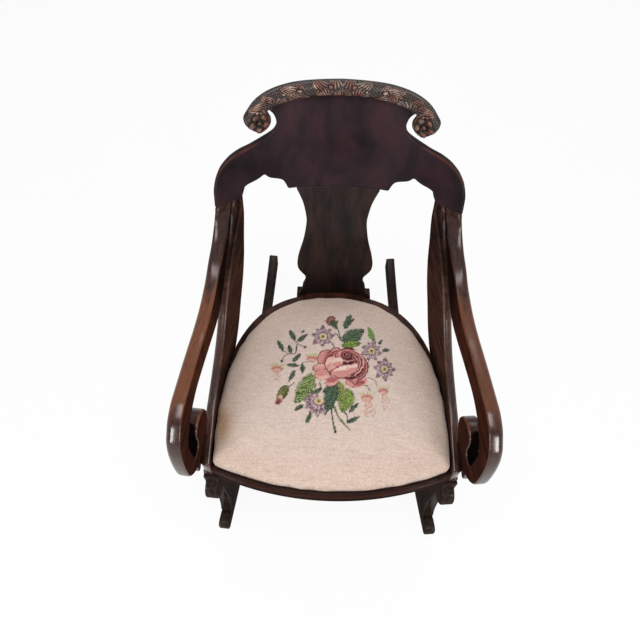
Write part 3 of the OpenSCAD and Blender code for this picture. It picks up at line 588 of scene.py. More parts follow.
def leaf_ribs(s, t):
    """Height from 0 to 1 of carved leaves on a strip, s along it and t across. The ground carries slanting
    ridges of a cosine. Each leaf is a sector about a point beside the strip: its ribs are the crests of a
    cosine of the angle, they lean further with the distance, and the same cosine scallops the tips."""
    height = 0.5 * np.abs(np.cos(np.pi * (s + 0.8 * t + 4 * np.sin(s / 7)) / 5)) ** 0.8
    for base, across, lean, spread, reach, ribs in LEAVES:
        along_it, off = s - base, (t - across) * (1 if across < 20 else -1)
        r = np.hypot(along_it, off)
        share = (np.degrees(np.arctan2(along_it, off)) - lean * (0.8 + 0.45 * r / reach)) / spread
        rib = np.abs(np.cos(np.pi * ribs * share)) ** 0.7
        tip = reach * (0.82 + 0.18 * rib) * (1 - 0.9 * np.minimum(share * share, 1))
        room = np.minimum((0.5 - np.abs(share)) * np.radians(spread) * r, tip - r)
        leaf = (0.12 + 0.88 * rib) * (0.62 + 0.38 * np.sin(np.pi * np.clip(r / reach, 0, 1)))
        height = np.where(room > 0, leaf * step(room, 0, 1.5), height)
    for base, across, size in LUMPS:
        off = np.hypot(s - base, t - across) / size
        height = np.where(off < 1.25, 1.15 * np.sqrt(np.clip(1 - off * off, 0, 1)), height)
    return np.minimum(height, 1)


def crest_carving(depth):
    """The carved band: a rolled section carried from one hanging scroll over the crest to the other. Its front
    and its rounded top carry leaf ribs, and a plain rim stays along its back edge. Its front is sunk where the
    rosettes sit. Returns points, faces and the height of the carving."""
    sink, seat_r = 3.6, 18

    def paced(shares, split):
        """An edge of the band with 300 even steps to the point where the scroll starts and 60 after it."""
        line = curve(on_crest(shares), 20)
        a, b = (even(part, running(part)[-1] / steps, False)
                for part, steps in ((line[: split + 1], 300), (line[split:], 60)))
        return np.vstack([a, b[1:]])

    out, inn = paced(BAND_OUTER, 140), paced(BAND_INNER, 120)
    s = running((out + inn) / 2)[:, None]
    width = np.linalg.norm(out - inn, axis=1)[:, None]
    section = curve(BAND_SECTION, 9)
    thin = 0.3 + 0.7 * step(width, 0, 16)
    a, h = section[None, :, 0] * width, section[None, :, 1] * thin
    t = np.cumsum(np.hypot(np.diff(a, axis=1, prepend=0), np.diff(h, axis=1, prepend=h[:, :1])), axis=1)
    ridge = leaf_ribs(*np.broadcast_arrays(s, t))
    rim = t[:, -1:] - t
    place = inn[:, None] + (out - inn)[:, None] * section[None, :, :1] - ROSETTE_AT
    sunk = step(section[None, :, 1], 6, 9) * (1 - step(np.hypot(place[..., 0], place[..., 1]), 14, seat_r))
    calm = step(width, 10, 22) * step(t, 3, 6) * step(rim, 5.5, 8) * (1 - sunk)
    carved = ridge * calm
    lift = (carved - calm) * depth + step(7 - rim, 0, 2) * 0.5 - sink * sunk
    slope, rise = np.gradient(a, axis=1), np.gradient(h, axis=1)
    size = np.maximum(np.hypot(slope, rise), 1e-6)
    a, h = a - rise / size * lift, h + slope / size * lift
    flat = inn[:, None] + (out - inn)[:, None] * (a / np.maximum(width, 1e-6))[..., None]
    co = on_back(flat[..., 0].ravel(), flat[..., 1].ravel(), h.ravel()).reshape(*h.shape, 3)
    co = np.concatenate([co[::-1], (co * [-1, 1, 1])[1:]])
    height = np.concatenate([carved[::-1], carved[1:]])
    return co.reshape(-1, 3), tube_faces(*height.shape), height.ravel()


def rosette(side, rise):
    """A rosette on a round grid: a boss in the middle and five petals, each a bulge between two valleys that
    a cosine of the angle cuts. Its back lies in the band. Returns points, faces and wear."""
    rings, turns, petals = 29, 110, 5
    ring, turn = np.linspace(0, 1, rings + 1)[1:], np.linspace(0, 2 * np.pi, turns, endpoint=False)
    r, a = np.meshgrid(ring, turn, indexing="ij")
    ground, back = BAND_FRONT - 4, BAND_FRONT - 9.0
    petal = np.abs(np.cos(petals / 2 * (a + 0.35))) ** 0.9
    edge = ROSETTE_R * (0.8 + 0.2 * petal)
    bulge = np.sin(np.pi * np.clip((r - 0.38) / 0.68, 0, 1)) ** 0.6
    curl = 0.16 * np.sin(petals * (a + 0.35) * 2) * r
    leaf = bulge * (0.15 + 0.85 * petal + curl)
    boss = 0.95 * np.sqrt(np.clip(1 - (r / 0.26) ** 2, 0, 1))
    height = rise * np.maximum(leaf * step(r, 0.3, 0.45), boss)
    centre = ROSETTE_AT[:, None] * [[side], [1]]
    x = centre[0] + r * edge * np.cos(a)
    u = centre[1] + r * edge * np.sin(a)
    co = np.vstack([on_back(*centre, np.array([ground + rise])),
                    on_back(x.ravel(), u.ravel(), (ground + height).ravel()),
                    on_back(x[-1], u[-1], np.full(turns, back))])
    faces = [[0, 1 + i, 1 + (i + 1) % turns] for i in range(turns)]
    faces += [list(1 + f) for f in grid_faces(rings + 1, turns, True)]
    faces.append(list(range(1 + rings * turns, 1 + (rings + 1) * turns)))
    # Wear follows the petals' bulge and the boss: copper of rubbing with a painted highlight
    wear = np.concatenate([[1], np.maximum(leaf, boss).ravel(), np.zeros(turns)])
    return co, faces, wear


def arm_line():
    """The arm's side view: top edge, round the front of the scroll, the eye, the slot and the under edge."""
    eye, slot = (75, RAIL_TOP + 84.9), (28.5, RAIL_TOP + 86.1)
    top, under = (curve(sized(part, SIDE_RUN, ARM_RISE, 0, RAIL_TOP)) for part in (ARM_TOP, ARM_UNDER))
    rear = curve(np.array([[53.8, 118.8], [47.5, 110], [45, 99], [45, 88]]) + [0, RAIL_TOP])
    return below_joint(np.vstack([top, arc((SCROLL_Y, SCROLL_Z), SCROLL_R, 183, 349, 60), arc(eye, 40, 2, 122, 40),
                                  rear, arc(slot, 16.5, 0, -180), under]))


def stile_line():
    """A stile's side view: down the front, along the rail's bottom and up the rear."""
    front, rear = (curve(sized(part, SIDE_RUN, STILE_RISE, 0, RAIL_BOTTOM)) for part in (STILE_FRONT, STILE_REAR))
    return below_joint(np.vstack([front, [[15, RAIL_BOTTOM]], rear]))


def runner_top(y, lift=0.0):
    """Height of a runner's upper edge, an arc about the centre of the running edge, or lift above it."""
    return RUNNER_R - np.sqrt((RUNNER_R - RUNNER_DEPTH - lift) ** 2 - (y - CONTACT_Y) ** 2)


def leg_line():
    """A front leg's side view: up the front, round the scrolled knuckle, down the rear, along the runner."""
    rise = RAIL_BOTTOM - LEG_FOOT
    front, rear = (curve(sized(part, LEG_DEPTH, rise, 0, LEG_FOOT)) for part in (LEG_FRONT, LEG_REAR))
    knuckle = arc((18, LEG_FOOT + 0.764 * rise), 32, 277, 105, 40)
    dense = even(np.vstack([front, knuckle, [[9.6, RAIL_BOTTOM]], rear]), 1.0, False)
    dense = dense[dense[:, 1] > runner_top(dense[:, 0], GLUE)]
    y = np.linspace(dense[-1, 0], dense[0, 0], 20)
    return np.vstack([dense, np.column_stack([y, runner_top(y, GLUE)])])


def runner_line():
    """A runner's side view: the running arc, the square tail, the upper arc and the bolster toe with two
    small reeds behind it."""
    low, high, toe_y, toe_r = 58.3, 70.3, -14, 13
    y = np.linspace(-8, TAIL, 260)
    under = np.column_stack([y, RUNNER_R - np.sqrt(RUNNER_R**2 - (y - CONTACT_Y) ** 2)])
    top = np.column_stack([y, runner_top(y)])[::-1]
    reeds = 2.2 * np.abs(np.sin(np.pi * (top[:, 0] - 1) / 5)) * ((top[:, 0] > 1) & (top[:, 0] < 11))
    top[:, 1] += reeds
    return np.vstack([under, top, arc((toe_y, high), toe_r, 110, 180, 12),
                      arc((toe_y, low), toe_r, 180, 250, 12)])


def rear_leg_place(side):
    """Place of a rear leg's board, upright and spread to the runner."""
    def place(a, b, d):
        x = REAR_T / 2 - d
        return np.column_stack([side * (REAR_HALF + x * np.cos(REAR_SPREAD) + a * np.sin(REAR_SPREAD)),
                                REAR_Y - x * np.sin(REAR_SPREAD) + a * np.cos(REAR_SPREAD), b])
    return place


def rear_leg_line():
    """A rear leg's side view: its raked middle line widened both ways, cut off at the rail and the runner."""
    run = REAR_RUN / np.cos(REAR_SPREAD)
    middle, half = curve(sized(REAR_LEG, run, RAIL_BOTTOM)), [REAR_DEPTH / 2, 0]
    dense = even(np.vstack([middle - half, (middle + half)[::-1]]), 1.0)
    chair_y = REAR_Y + dense[:, 0] * REAR_RUN / run
    return dense[(dense[:, 1] > runner_top(chair_y, GLUE)) & (dense[:, 1] < RAIL_BOTTOM)]


def rail_section():
    """Front rail's section as radius and height: a small foot, a flat, a bead, a rounded top and the ledge."""
    return np.vstack([[[647, RAIL_BOTTOM], [677, RAIL_BOTTOM]], arc((676.4, RAIL_BOTTOM + 6), 2, -20, 90, 6),
                      [[675, RAIL_BOTTOM + 10], [675, 390]], arc((675, 397), 6, -80, 80, 14),
                      arc((673.6, 407.4), 2.2, -10, 90, 6), [[668, 409.4], [668, LEDGE], [647, LEDGE]]])


def rail_path(section):
    """The front rail's section carried along its bow, and cut off square at the stiles."""
    half_length, mean_r = 257, 661
    half = np.arcsin(half_length / mean_r) - 0.003
    a = np.linspace(-half, half, 90)[:, None]
    r, z = section[None, :, 0], section[None, :, 1]
    x = np.clip(r * np.sin(a), GLUE - half_length, half_length - GLUE)
    y = BOW_Y + BOW_R - np.sqrt(r * r - x * x)
    return np.stack([x, y, np.broadcast_to(z, x.shape)], -1)


# The seat

def rim(angle):
    """Radius of the seat's plan about its middle at an angle: a superellipse behind, an arc in front."""
    a = np.linspace(0, np.pi, 400)
    x = SEAT_HALF * np.sign(np.cos(a)) * np.abs(np.cos(a)) ** (2 / SEAT_POWER)
    y = WIDEST_Y + SEAT_REAR * np.abs(np.sin(a)) ** (2 / SEAT_POWER)
    b = np.linspace(-SEAT_FRONT_HALF, SEAT_FRONT_HALF, 200)
    front = np.column_stack([b, BOW_Y + BOW_R - np.sqrt(SEAT_FRONT_R**2 - b * b)])
    line = softened(even(np.vstack([np.column_stack([x, y]), front]), 3.0), 3)
    polar = np.arctan2(line[:, 1] - SEAT_MIDDLE_Y, line[:, 0])
    order = np.argsort(polar)
    reach = np.hypot(line[:, 0], line[:, 1] - SEAT_MIDDLE_Y)
    return np.interp(angle, polar[order], reach[order], period=2 * np.pi)


def dome(u, v):
    """Point of the upholstery for u and v from -1 to 1. The square is bent to a disc, x = u sqrt(1 - v²/2) and
    y = v sqrt(1 - u²/2); the radius there runs down the section from the crown to the rim. Sines lay small
    tucks along the hem and waves over the crown, and the front corners sink. Returns the points and the share
    of the way to the rim."""
    x, y = u * np.sqrt(1 - v * v / 2), v * np.sqrt(1 - u * u / 2)
    share, angle = np.minimum(np.hypot(x, y), 1), np.arctan2(y, x)
    section = curve(DOME, 12)
    run = np.r_[0, np.cumsum(np.hypot(np.diff(section[:, 0]) * 250, np.diff(section[:, 1]) * SEAT_RISE))]
    plan = np.interp(share * run[-1], run, section[:, 0])
    height = np.interp(share * run[-1], run, section[:, 1])
    reach = rim(angle) * plan
    tuck = 0.9 * np.sin(angle * 23 + 1.5 * np.sin(angle * 7)) * step(plan, 0.9, 0.97) * step(-height, -0.72, -0.5)
    wave = 1.1 * np.sin(x * 5.1 + 1.3) * np.sin(y * 4.3 + 0.4) * (1 - share**4)
    corner = -3.5 * np.exp(-((np.abs(x) - 0.62) ** 2 + (y + 0.62) ** 2) / 0.02)
    return np.stack([(reach + tuck) * np.cos(angle), SEAT_MIDDLE_Y + (reach + tuck) * np.sin(angle),
                     SEAT_FOOT + height * SEAT_RISE + (wave + corner) * step(height, 0.4, 0.7)], -1), share


def drawing(co):
    """Where a point of the seat falls on the bouquet's drawing, which shows the seat from the camera's
    side: 10 units are one pixel of the photo. Points of one stitch fall on one place."""
    left, top, units = 262, 306, 10
    ray = np.column_stack([(np.floor(co[:, :2] / STITCH) + 0.5) * STITCH, co[:, 2]]) - EYE
    deep = ray @ AHEAD
    return np.column_stack([(PHOTO / 2 + FOCAL * (ray @ RIGHTWARD) / deep - left) * units,
                            (PHOTO / 2 - FOCAL * (ray @ UPWARD) / deep - top) * units])


class Needlework:
    """Colours, 0 to 255 as they look, stitched at points of the drawing, each motif over the ones before."""

    def __init__(self, at, ground):
        self.at, self.colour = at, ground

    def stitch(self, where, colour, amount=1.0):
        """Lays a colour where the share is above 0, at most by the amount."""
        amount = (np.clip(where, 0, 1) * amount)[:, None]
        self.colour = self.colour * (1 - amount) + np.asarray(colour, float) * amount

    def leaf(self, root, tip, half, dark, body, vein, teeth=0.0, bend=0.0, pitch=26.0, sweep=1.1):
        """A leaf from root to tip. Half its width is a sine bulge with saw teeth; slanting veins run from a dark
        midrib, and a dark line follows its edge."""
        root, tip = np.array(root, float), np.array(tip, float)
        length = np.linalg.norm(tip - root)
        axis = (tip - root) / length
        p = (self.at - root) @ axis / length
        off = (self.at - root) @ [-axis[1], axis[0]] - bend * np.sin(np.pi * np.clip(p, 0, 1))
        slant = (p * length - np.abs(off) * sweep) / pitch
        width = half * np.sin(np.pi * np.clip(p, 0.001, 0.999) ** 0.8) ** 0.75
        width = width * (1 + teeth * (slant % 1 - 0.6))
        room = np.where((p > 0) & (p < 1), width - np.abs(off), -9)
        self.stitch(room / 5 + 0.5, dark)
        self.stitch((room - 5) / 5 + 0.5, body)
        veins = step(np.abs(slant % 1 - 0.5), 0.24, 0.42)
        self.stitch((room - 3) / 5 * veins, vein, 0.85)
        self.stitch(((room > 3) & (np.abs(off) < 3)) * 0.8, dark)

    def line(self, points, width, colour, steps=6):
        """A stem or thread: every stitch within half the width of the line."""
        p = curve(points, steps)
        near = np.full(len(self.at), 1e9)
        for a, b in zip(p[:-1], p[1:]):
            d = b - a
            t = np.clip((self.at - a) @ d / max(d @ d, 1e-9), 0, 1)
            near = np.minimum(near, np.linalg.norm(self.at - a - t[:, None] * d, axis=1))
        self.stitch((width / 2 - near) / 5 + 0.5, colour)

    def petal(self, centre, rx, ry, turn, pale, deep, edge, light=(0.0, -1.0), rim=0.16):
        """A petal: an oval shaded from pale to deep against the light, with an edge line."""
        a = np.radians(turn)
        d = self.at - np.array(centre, float)
        x, y = (d @ [np.cos(a), np.sin(a)]) / rx, (d @ [-np.sin(a), np.cos(a)]) / ry
        r = np.hypot(x, y)
        soft = 8 / (rx + ry)
        self.stitch((1 - r) / soft + 0.5, edge)
        self.stitch((1 - rim - r) / soft + 0.5, pale)
        shade = step((d / [rx, ry]) @ np.array(light) * -1, -0.35, 0.95)
        self.stitch((1 - rim - r) / soft * shade, deep)

    def rings(self, centre, rx, ry, start, end, shades, width):
        """Nested arcs, one shade each, growing by the width from one to the next."""
        a = np.radians(np.linspace(start, end, 14))
        for k, shade in enumerate(shades):
            x = centre[0] + (rx + k * width) * np.cos(a)
            y = centre[1] + (ry + k * width * 0.9) * np.sin(a)
            self.line(np.column_stack([x, y]), width * 1.15, shade, 3)

    def star(self, centre, radius, tips, pale, edge, heart=20):
        """A star flower: pointed petals round a cream and yellow heart, each with a dark outline and a vein."""
        c = np.array(centre, float)
        for turn, reach in tips:
            a = np.radians(turn)
            tip = c + radius * reach * np.array([np.cos(a), np.sin(a) * 0.95])
            self.leaf(c, tip, radius * 0.25, edge, pale, (202, 184, 190), 0, radius * 0.05, 60.0, 0.2)
        self.petal(c, heart * 1.5, heart * 1.4, 0, (206, 184, 128), (196, 160, 92), (222, 206, 178), rim=0.3)
        self.petal(c, heart * 0.5, heart * 0.5, 0, (104, 88, 52), (96, 78, 40), (120, 96, 50))

    def bell(self, centre, reach, threads):
        """A pendant blossom: pale sepals, a dusky crescent that fades downwards and hanging threads."""
        c = np.array(centre, float)
        cream, dusk, faded = (206, 198, 164), (176, 104, 98), (216, 170, 158)
        for dx in (-0.95, -0.5, 0.05, 0.5, 0.95):
            tip = c + [dx * reach, -reach * (0.78 - abs(dx) * 0.3)]
            self.leaf(c + [dx * 12, 0], tip, 9, (190, 184, 140), cream, (222, 214, 190))
        self.petal(c + [0, 12], reach * 0.62, reach * 0.4, 0, faded, (214, 182, 168), (208, 160, 148), rim=0.2)
        self.rings(c + [0, 18], reach * 0.52, reach * 0.3, 200, 340, [dusk, (198, 134, 124)], 11)
        for dx, dy in threads:
            self.line([c + [dx * 0.3, 20], c + [dx * 0.6, dy * 0.5], c + [dx, dy]], 5, (196, 142, 122))
            self.petal(c + [dx, dy], 7, 5, 0, (178, 142, 82), (160, 120, 66), (150, 110, 70))


def bouquet(w):
    """Draws the spray: sprigs, leaves, buds, star flowers, bells and the rose, from back to front."""
    ink, teal, mist = (34, 48, 42), (66, 86, 68), (112, 128, 102)
    wood, lime = (60, 84, 36), (160, 182, 98)
    lilac, plum, grey = (154, 128, 134), (78, 54, 64), (168, 146, 148)
    w.line([(198, 550), (215, 510), (270, 480), (335, 470), (350, 380)], 7, ink)
    w.line([(275, 478), (215, 455)], 6, ink)
    w.line([(335, 470), (350, 380), (390, 395), (430, 410)], 6, ink)
    w.line([(350, 380), (330, 340)], 6, ink)
    w.line([(310, 610), (380, 590), (420, 565), (470, 560)], 6, teal)
    for *ends, half in ((335, 345, 272, 238, 25), (350, 355, 464, 276, 22), (395, 270, 428, 240, 11),
                        (215, 450, 155, 342, 23), (292, 472, 268, 386, 20), (305, 558, 392, 472, 22),
                        (364, 595, 248, 588, 20), (407, 578, 402, 678, 21), (330, 642, 268, 755, 21),
                        (1165, 385, 1205, 338, 15), (1195, 447, 1280, 440, 17), (326, 1040, 422, 986, 23),
                        (443, 1172, 492, 1060, 24), (500, 884, 602, 818, 24), (866, 1064, 970, 966, 20),
                        (848, 1170, 980, 1103, 21)):
        w.leaf(ends[:2], ends[2:], half, ink, teal, mist, 0, 0, 16.0, 0.6)
    for berry in ((198, 550), (430, 410)):
        w.petal(berry, 13, 13, 0, teal, ink, ink)
    w.line([(745, 200), (770, 265), (785, 325)], 10, ink)
    w.line([(730, 270), (760, 300), (790, 345)], 8, ink)
    w.line([(700, 375), (730, 415)], 9, ink)
    w.line([(318, 772), (268, 802)], 9, ink)
    w.line([(570, 750), (600, 825)], 9, teal)
    w.line([(705, 930), (698, 1080), (735, 1262)], 17, ink)
    w.line([(707, 930), (700, 1080), (735, 1255)], 8, (92, 112, 96))
    w.line([(722, 1000), (765, 1110), (880, 1240)], 16, wood)
    w.line([(724, 1000), (768, 1110), (878, 1232)], 7, (136, 138, 80))
    w.line([(820, 1060), (852, 1100), (850, 1172)], 9, ink)
    w.line([(1058, 715), (1120, 740), (1150, 792)], 7, wood)
    w.line([(1000, 790), (1050, 800), (1080, 850)], 7, wood)
    w.petal((690, 148), 46, 52, 30, (146, 92, 80), (104, 62, 54), (88, 70, 52), (-1, -0.6))
    w.rings((700, 160), 14, 20, 150, 300, [(98, 96, 58), (160, 118, 96)], 11)
    w.leaf((690, 190), (768, 150), 24, ink, (96, 98, 66), (130, 126, 88))
    w.leaf((690, 165), (756, 226), 24, ink, teal, (104, 122, 84))
    w.line([(622, 150), (660, 156)], 7, (96, 70, 54))
    w.leaf((828, 226), (890, 84), 38, ink, teal, mist, 0.35, 0, 22.0)
    w.leaf((846, 180), (926, 128), 17, ink, teal, mist)
    w.leaf((796, 350), (1026, 240), 74, ink, (50, 74, 58), (116, 136, 104), 0.42, 8, 30.0, 1.6)
    w.leaf((795, 394), (994, 372), 40, (48, 74, 34), (92, 120, 50), lime, 0.3, 0, 26.0)
    w.leaf((1118, 350), (1060, 212), 30, (74, 104, 44), (112, 150, 66), (140, 172, 84), 0.1, 0, 20.0)
    w.leaf((510, 675), (328, 974), 82, (46, 70, 32), (72, 98, 44), (178, 192, 132), 0.4, -14, 34.0, 1.3)
    w.petal((208, 868), 48, 88, 30, (122, 126, 66), (84, 86, 50), (70, 66, 44), (-1, -0.4))
    w.line([(250, 800), (214, 870), (186, 930)], 7, (156, 156, 96))
    w.petal((180, 925), 30, 44, 30, (212, 186, 158), (176, 100, 92), (112, 56, 56), (0.4, -1))
    w.petal((160, 962), 26, 30, 30, (140, 66, 62), (112, 48, 50), (120, 54, 54))
    w.leaf((778, 752), (700, 968), 96, (70, 86, 44), (126, 130, 70), (164, 160, 98), 0.3, 10, 30.0)
    w.leaf((858, 822), (800, 1064), 88, wood, (96, 116, 58), (164, 172, 104), 0.4, -8, 32.0)
    w.leaf((862, 850), (894, 1000), 44, wood, (118, 142, 70), lime, 0.3)
    w.leaf((790, 930), (806, 1062), 24, wood, (132, 150, 80), lime, 0.2)
    w.star((565, 950), 165, [(62, 1.0), (94, 1.05), (122, 1.0), (152, 0.95), (184, 0.95), (214, 0.8)], lilac, plum, 26)
    w.leaf((755, 775), (606, 866), 44, ink, (58, 82, 66), mist, 0.35)
    w.leaf((742, 780), (650, 1066), 72, ink, (46, 70, 56), (110, 130, 98), 0.45, 12, 30.0)
    w.star((610, 305), 122, [(-92, 1.0), (-45, 0.95), (-8, 1.0), (40, 0.9), (92, 0.9), (142, 1.1), (190, 0.95),
                             (230, 0.85)], lilac, plum, 24)
    w.star((1095, 450), 112, [(-78, 1.15), (-30, 0.9), (12, 1.0), (62, 1.0), (108, 1.0), (160, 1.0), (205, 0.95),
                              (248, 0.9)], grey, plum, 22)
    w.star((1225, 630), 122, [(-88, 1.05), (-42, 0.8), (2, 0.95), (42, 0.9), (84, 1.1), (132, 1.0), (188, 0.9),
                              (232, 0.9)], lilac, plum, 23)
    w.bell((150, 622), 88, ((-30, 80), (-8, 110), (12, 125), (30, 90)))
    w.bell((500, 520), 80, ((-10, 34), (14, 38)))
    w.bell((1050, 912), 92, ((-25, 170), (-4, 190), (25, 150), (62, 195), (85, 160)))
    w.bell((1212, 846), 78, ((-14, 110), (10, 190), (36, 170), (60, 110)))
    rose(w)


def rose(w):
    """The open rose: outer petals, then the nested right side, the folded middle and the two pale petals."""
    blush, pink, dusk, wine, deep = (230, 194, 180), (210, 148, 140), (178, 102, 102), (104, 46, 52), (72, 28, 34)
    w.petal((962, 756), 92, 54, -14, (220, 166, 156), dusk, pink, (-0.2, -1), 0.12)
    w.petal((892, 772), 62, 40, 20, pink, (216, 158, 148), dusk, (0, 1), 0.16)
    w.line([(870, 742), (905, 760), (930, 786), (966, 762), (1020, 770)], 8, wine)
    w.petal((905, 616), 142, 112, -40, wine, deep, dusk, (-0.6, -0.4), 0.05)
    w.rings((900, 612), 124, 106, -50, 70, [dusk, deep, pink, wine], 12)
    w.petal((640, 520), 96, 80, -42, pink, dusk, wine, (-1, -0.3), 0.1)
    w.petal((735, 475), 66, 62, -20, (206, 146, 140), dusk, wine, (0.6, -1), 0.14)
    w.rings((745, 490), 12, 16, 150, 280, [wine, pink, wine], 13)
    w.line([(628, 560), (660, 540), (700, 520), (730, 540)], 12, wine)
    w.petal((578, 612), 78, 40, -12, pink, (222, 172, 162), wine, (0, 1), 0.14)
    w.petal((604, 688), 80, 54, 8, (226, 180, 170), pink, dusk, (0.3, 1), 0.1)
    w.petal((700, 756), 70, 46, -20, (222, 168, 160), dusk, (184, 112, 110), (0.2, 1), 0.12)
    w.line([(690, 492), (646, 528), (620, 576)], 11, wine)
    w.petal((672, 540), 34, 16, -38, wine, deep, wine)
    w.petal((858, 560), 140, 146, 0, wine, deep, wine, (-0.6, -0.2), 0.04)
    w.petal((790, 486), 52, 44, -30, pink, dusk, wine, (-0.3, -1), 0.1)
    w.petal((858, 496), 84, 62, 6, dusk, wine, (226, 172, 166), (0.2, -1), 0.12)
    w.rings((836, 566), 98, 72, -60, 80, [dusk, deep, pink, deep, (222, 160, 156), wine, (230, 178, 170)], 13)
    w.petal((852, 494), 62, 46, 6, wine, deep, deep, (0, -1), 0.08)
    for start, colour, width in ((0.6, (190, 118, 118), 9), (3.4, deep, 8)):
        a, r = start + np.linspace(0, 12.5, 60), np.linspace(4, 50, 60)
        w.line(np.column_stack([852 + 1.15 * r * np.cos(a), 492 + 0.82 * r * np.sin(a)]), width, colour, 1)
    w.petal((700, 574), 66, 74, 24, blush, pink, dusk, (-0.5, -1), 0.05)
    w.petal((752, 566), 66, 50, -34, (238, 208, 194), pink, pink, (-0.2, -1), 0.05)
    w.petal((704, 638), 48, 54, 10, (222, 176, 168), dusk, dusk, (-0.4, -1), 0.06)
    w.line([(832, 566), (800, 592), (748, 616), (716, 660)], 8, wine)
    w.line([(624, 590), (656, 642), (700, 706)], 10, wine)
    w.petal((818, 652), 132, 58, -17, (244, 218, 206), pink, dusk, (-0.2, -1), 0.04)
    w.petal((894, 628), 74, 40, -40, (238, 206, 194), pink, dusk, (-0.4, -1), 0.05)
    w.line([(722, 692), (770, 718), (850, 718), (914, 690), (952, 650)], 9, wine)
    w.line([(800, 604), (858, 594), (914, 592)], 6, (206, 150, 144))


def puffed(co, faces, cap):
    """How far stuffing lifts the cover at each point: a closed copy is remeshed and blown up as cloth, and
    each point takes the lift of the nearest place on it, up to the cap."""
    voxel, hem, pressure, frames = 0.007, 26, 4.0, 20
    mesh = bpy.data.meshes.new("stuffing")
    mesh.from_pydata(metres(co).tolist(), [], [list(f) for f in faces])
    form = bpy.data.objects.new("stuffing", mesh)
    bpy.context.scene.collection.objects.link(form)
    remesh = form.modifiers.new("Remesh", "REMESH")
    remesh.mode, remesh.voxel_size = "VOXEL", voxel
    bpy.context.view_layer.objects.active = form
    form.select_set(True)
    bpy.ops.object.modifier_apply(modifier=remesh.name)
    start = np.empty(len(form.data.vertices) * 3, np.float32)
    form.data.vertices.foreach_get("co", start)
    pin = form.vertex_groups.new(name="tacked")
    low = (SEAT_FOOT + hem) * 0.001
    for i in np.nonzero(start.reshape(-1, 3)[:, 2] < low)[0]:
        pin.add([int(i)], 1.0, "REPLACE")
    cloth = form.modifiers.new("Cloth", "CLOTH")
    cloth.settings.use_pressure = True
    cloth.settings.uniform_pressure_force = pressure
    cloth.settings.vertex_group_mass = "tacked"
    cloth.settings.effector_weights.gravity = 0.0
    for now in range(1, frames + 1):
        bpy.context.scene.frame_set(now)
    done = form.evaluated_get(bpy.context.evaluated_depsgraph_get()).to_mesh()
    end = np.empty(len(done.vertices) * 3, np.float32)
    done.vertices.foreach_get("co", end)
    start, end = start.reshape(-1, 3), end.reshape(-1, 3)
    tree = BVHTree.FromPolygons(start.tolist(), [list(p.vertices) for p in form.data.polygons])
    lift = np.linalg.norm(end - start, axis=1)
    move = (end - start) * np.minimum(1, cap * 0.001 / np.maximum(lift, 1e-9))[:, None]
    near = [tree.find_nearest(Vector(c))[2] for c in metres(co)]
    corner = np.array([[form.data.polygons[i].vertices[k] for k in range(4)] for i in near])
    bpy.data.objects.remove(form)
    bpy.context.scene.frame_set(1)
    return move[corner].mean(1) * 1000


def stuffed(co, cap):
    """The lift of puffed() for a square grid of points. It is worked out at every third point, smoothed ten
    times, and spread over the rest by shares of the nearest two each way. The hem stays as it is."""
    coarse = co[::3, ::3]
    m = len(coarse)
    lift = puffed(coarse.reshape(-1, 3), [*grid_faces(m, m, False), border(m)[::-1]], cap).reshape(m, m, 3)
    for _ in range(10):
        lift = (lift * 2 + np.roll(lift, 1, 0) + np.roll(lift, -1, 0) + np.roll(lift, 1, 1)
                + np.roll(lift, -1, 1)) / 6
    at = np.arange(len(co)) / 3.0
    low = np.minimum(at.astype(int), m - 2)
    t = np.minimum(at - low, 1)[:, None]
    rows = lift[low] * (1 - t[..., None]) + lift[low + 1] * t[..., None]
    lift = rows[:, low] * (1 - t[None]) + rows[:, low + 1] * t[None]
    return lift * step(co[..., 2] - SEAT_FOOT, 24, 34)[..., None]


# Operators

def length(name, description, default, low, high):
    """A length that the panel shows, in metres."""
    return bpy.props.FloatProperty(name=name, description=description, default=default, min=low, max=high,
                                   unit="LENGTH")


def tint(name, description, *colour):
    """A colour that the panel shows, from its look."""
    return bpy.props.FloatVectorProperty(name=name, description=description, subtype="COLOR", size=3, min=0, max=1,
                                         default=linear(*colour)[:3])


class ChairSizes(bpy.types.PropertyGroup):
    """Sizes of the chair's finish that a user may change."""
    arris: length("Arris", "Rounding of the sawn boards' arrises", 0.004, 0.001, 0.006)
    stile_round: length("Stile rounding", "Rounding of the stiles' outer front arris", 0.016, 0.004, 0.017)
    carving_depth: length("Carving depth", "Depth of the leaf carving", 0.0038, 0.001, 0.007)
    rosette_rise: length("Rosette rise", "Height of the rosettes' petals", 0.007, 0.003, 0.009)
    stuffing_lift: length("Stuffing lift", "Most that the stuffing lifts the cover", 0.0025, 0.0, 0.01)
    stitch: length("Stitch", "Pitch of the needlepoint stitches", 0.0022, 0.0012, 0.004)


class ChairColours(bpy.types.PropertyGroup):
    """Colours of the chair's finishes."""
    deep: tint("Deep mahogany", "Darkest bands of the polished wood", 32, 21, 19)
    warm: tint("Warm mahogany", "Light bands of the polished wood", 72, 38, 28)
    veneer: tint("Veneer", "Light figure of the crest's veneer", 58, 39, 43)
    rubbed: tint("Rubbed arm", "Bare colour where hands wore the arms", 114, 67, 43)
    # The ridges' colour is partly wear and partly a painted highlight
    copper: tint("Carving ridges", "Colour of the carving's ridges, worn and with a painted highlight", 164, 134, 118)
    thread: tint("Stitch shade", "Shade between the needlepoint stitches", 168, 140, 124)


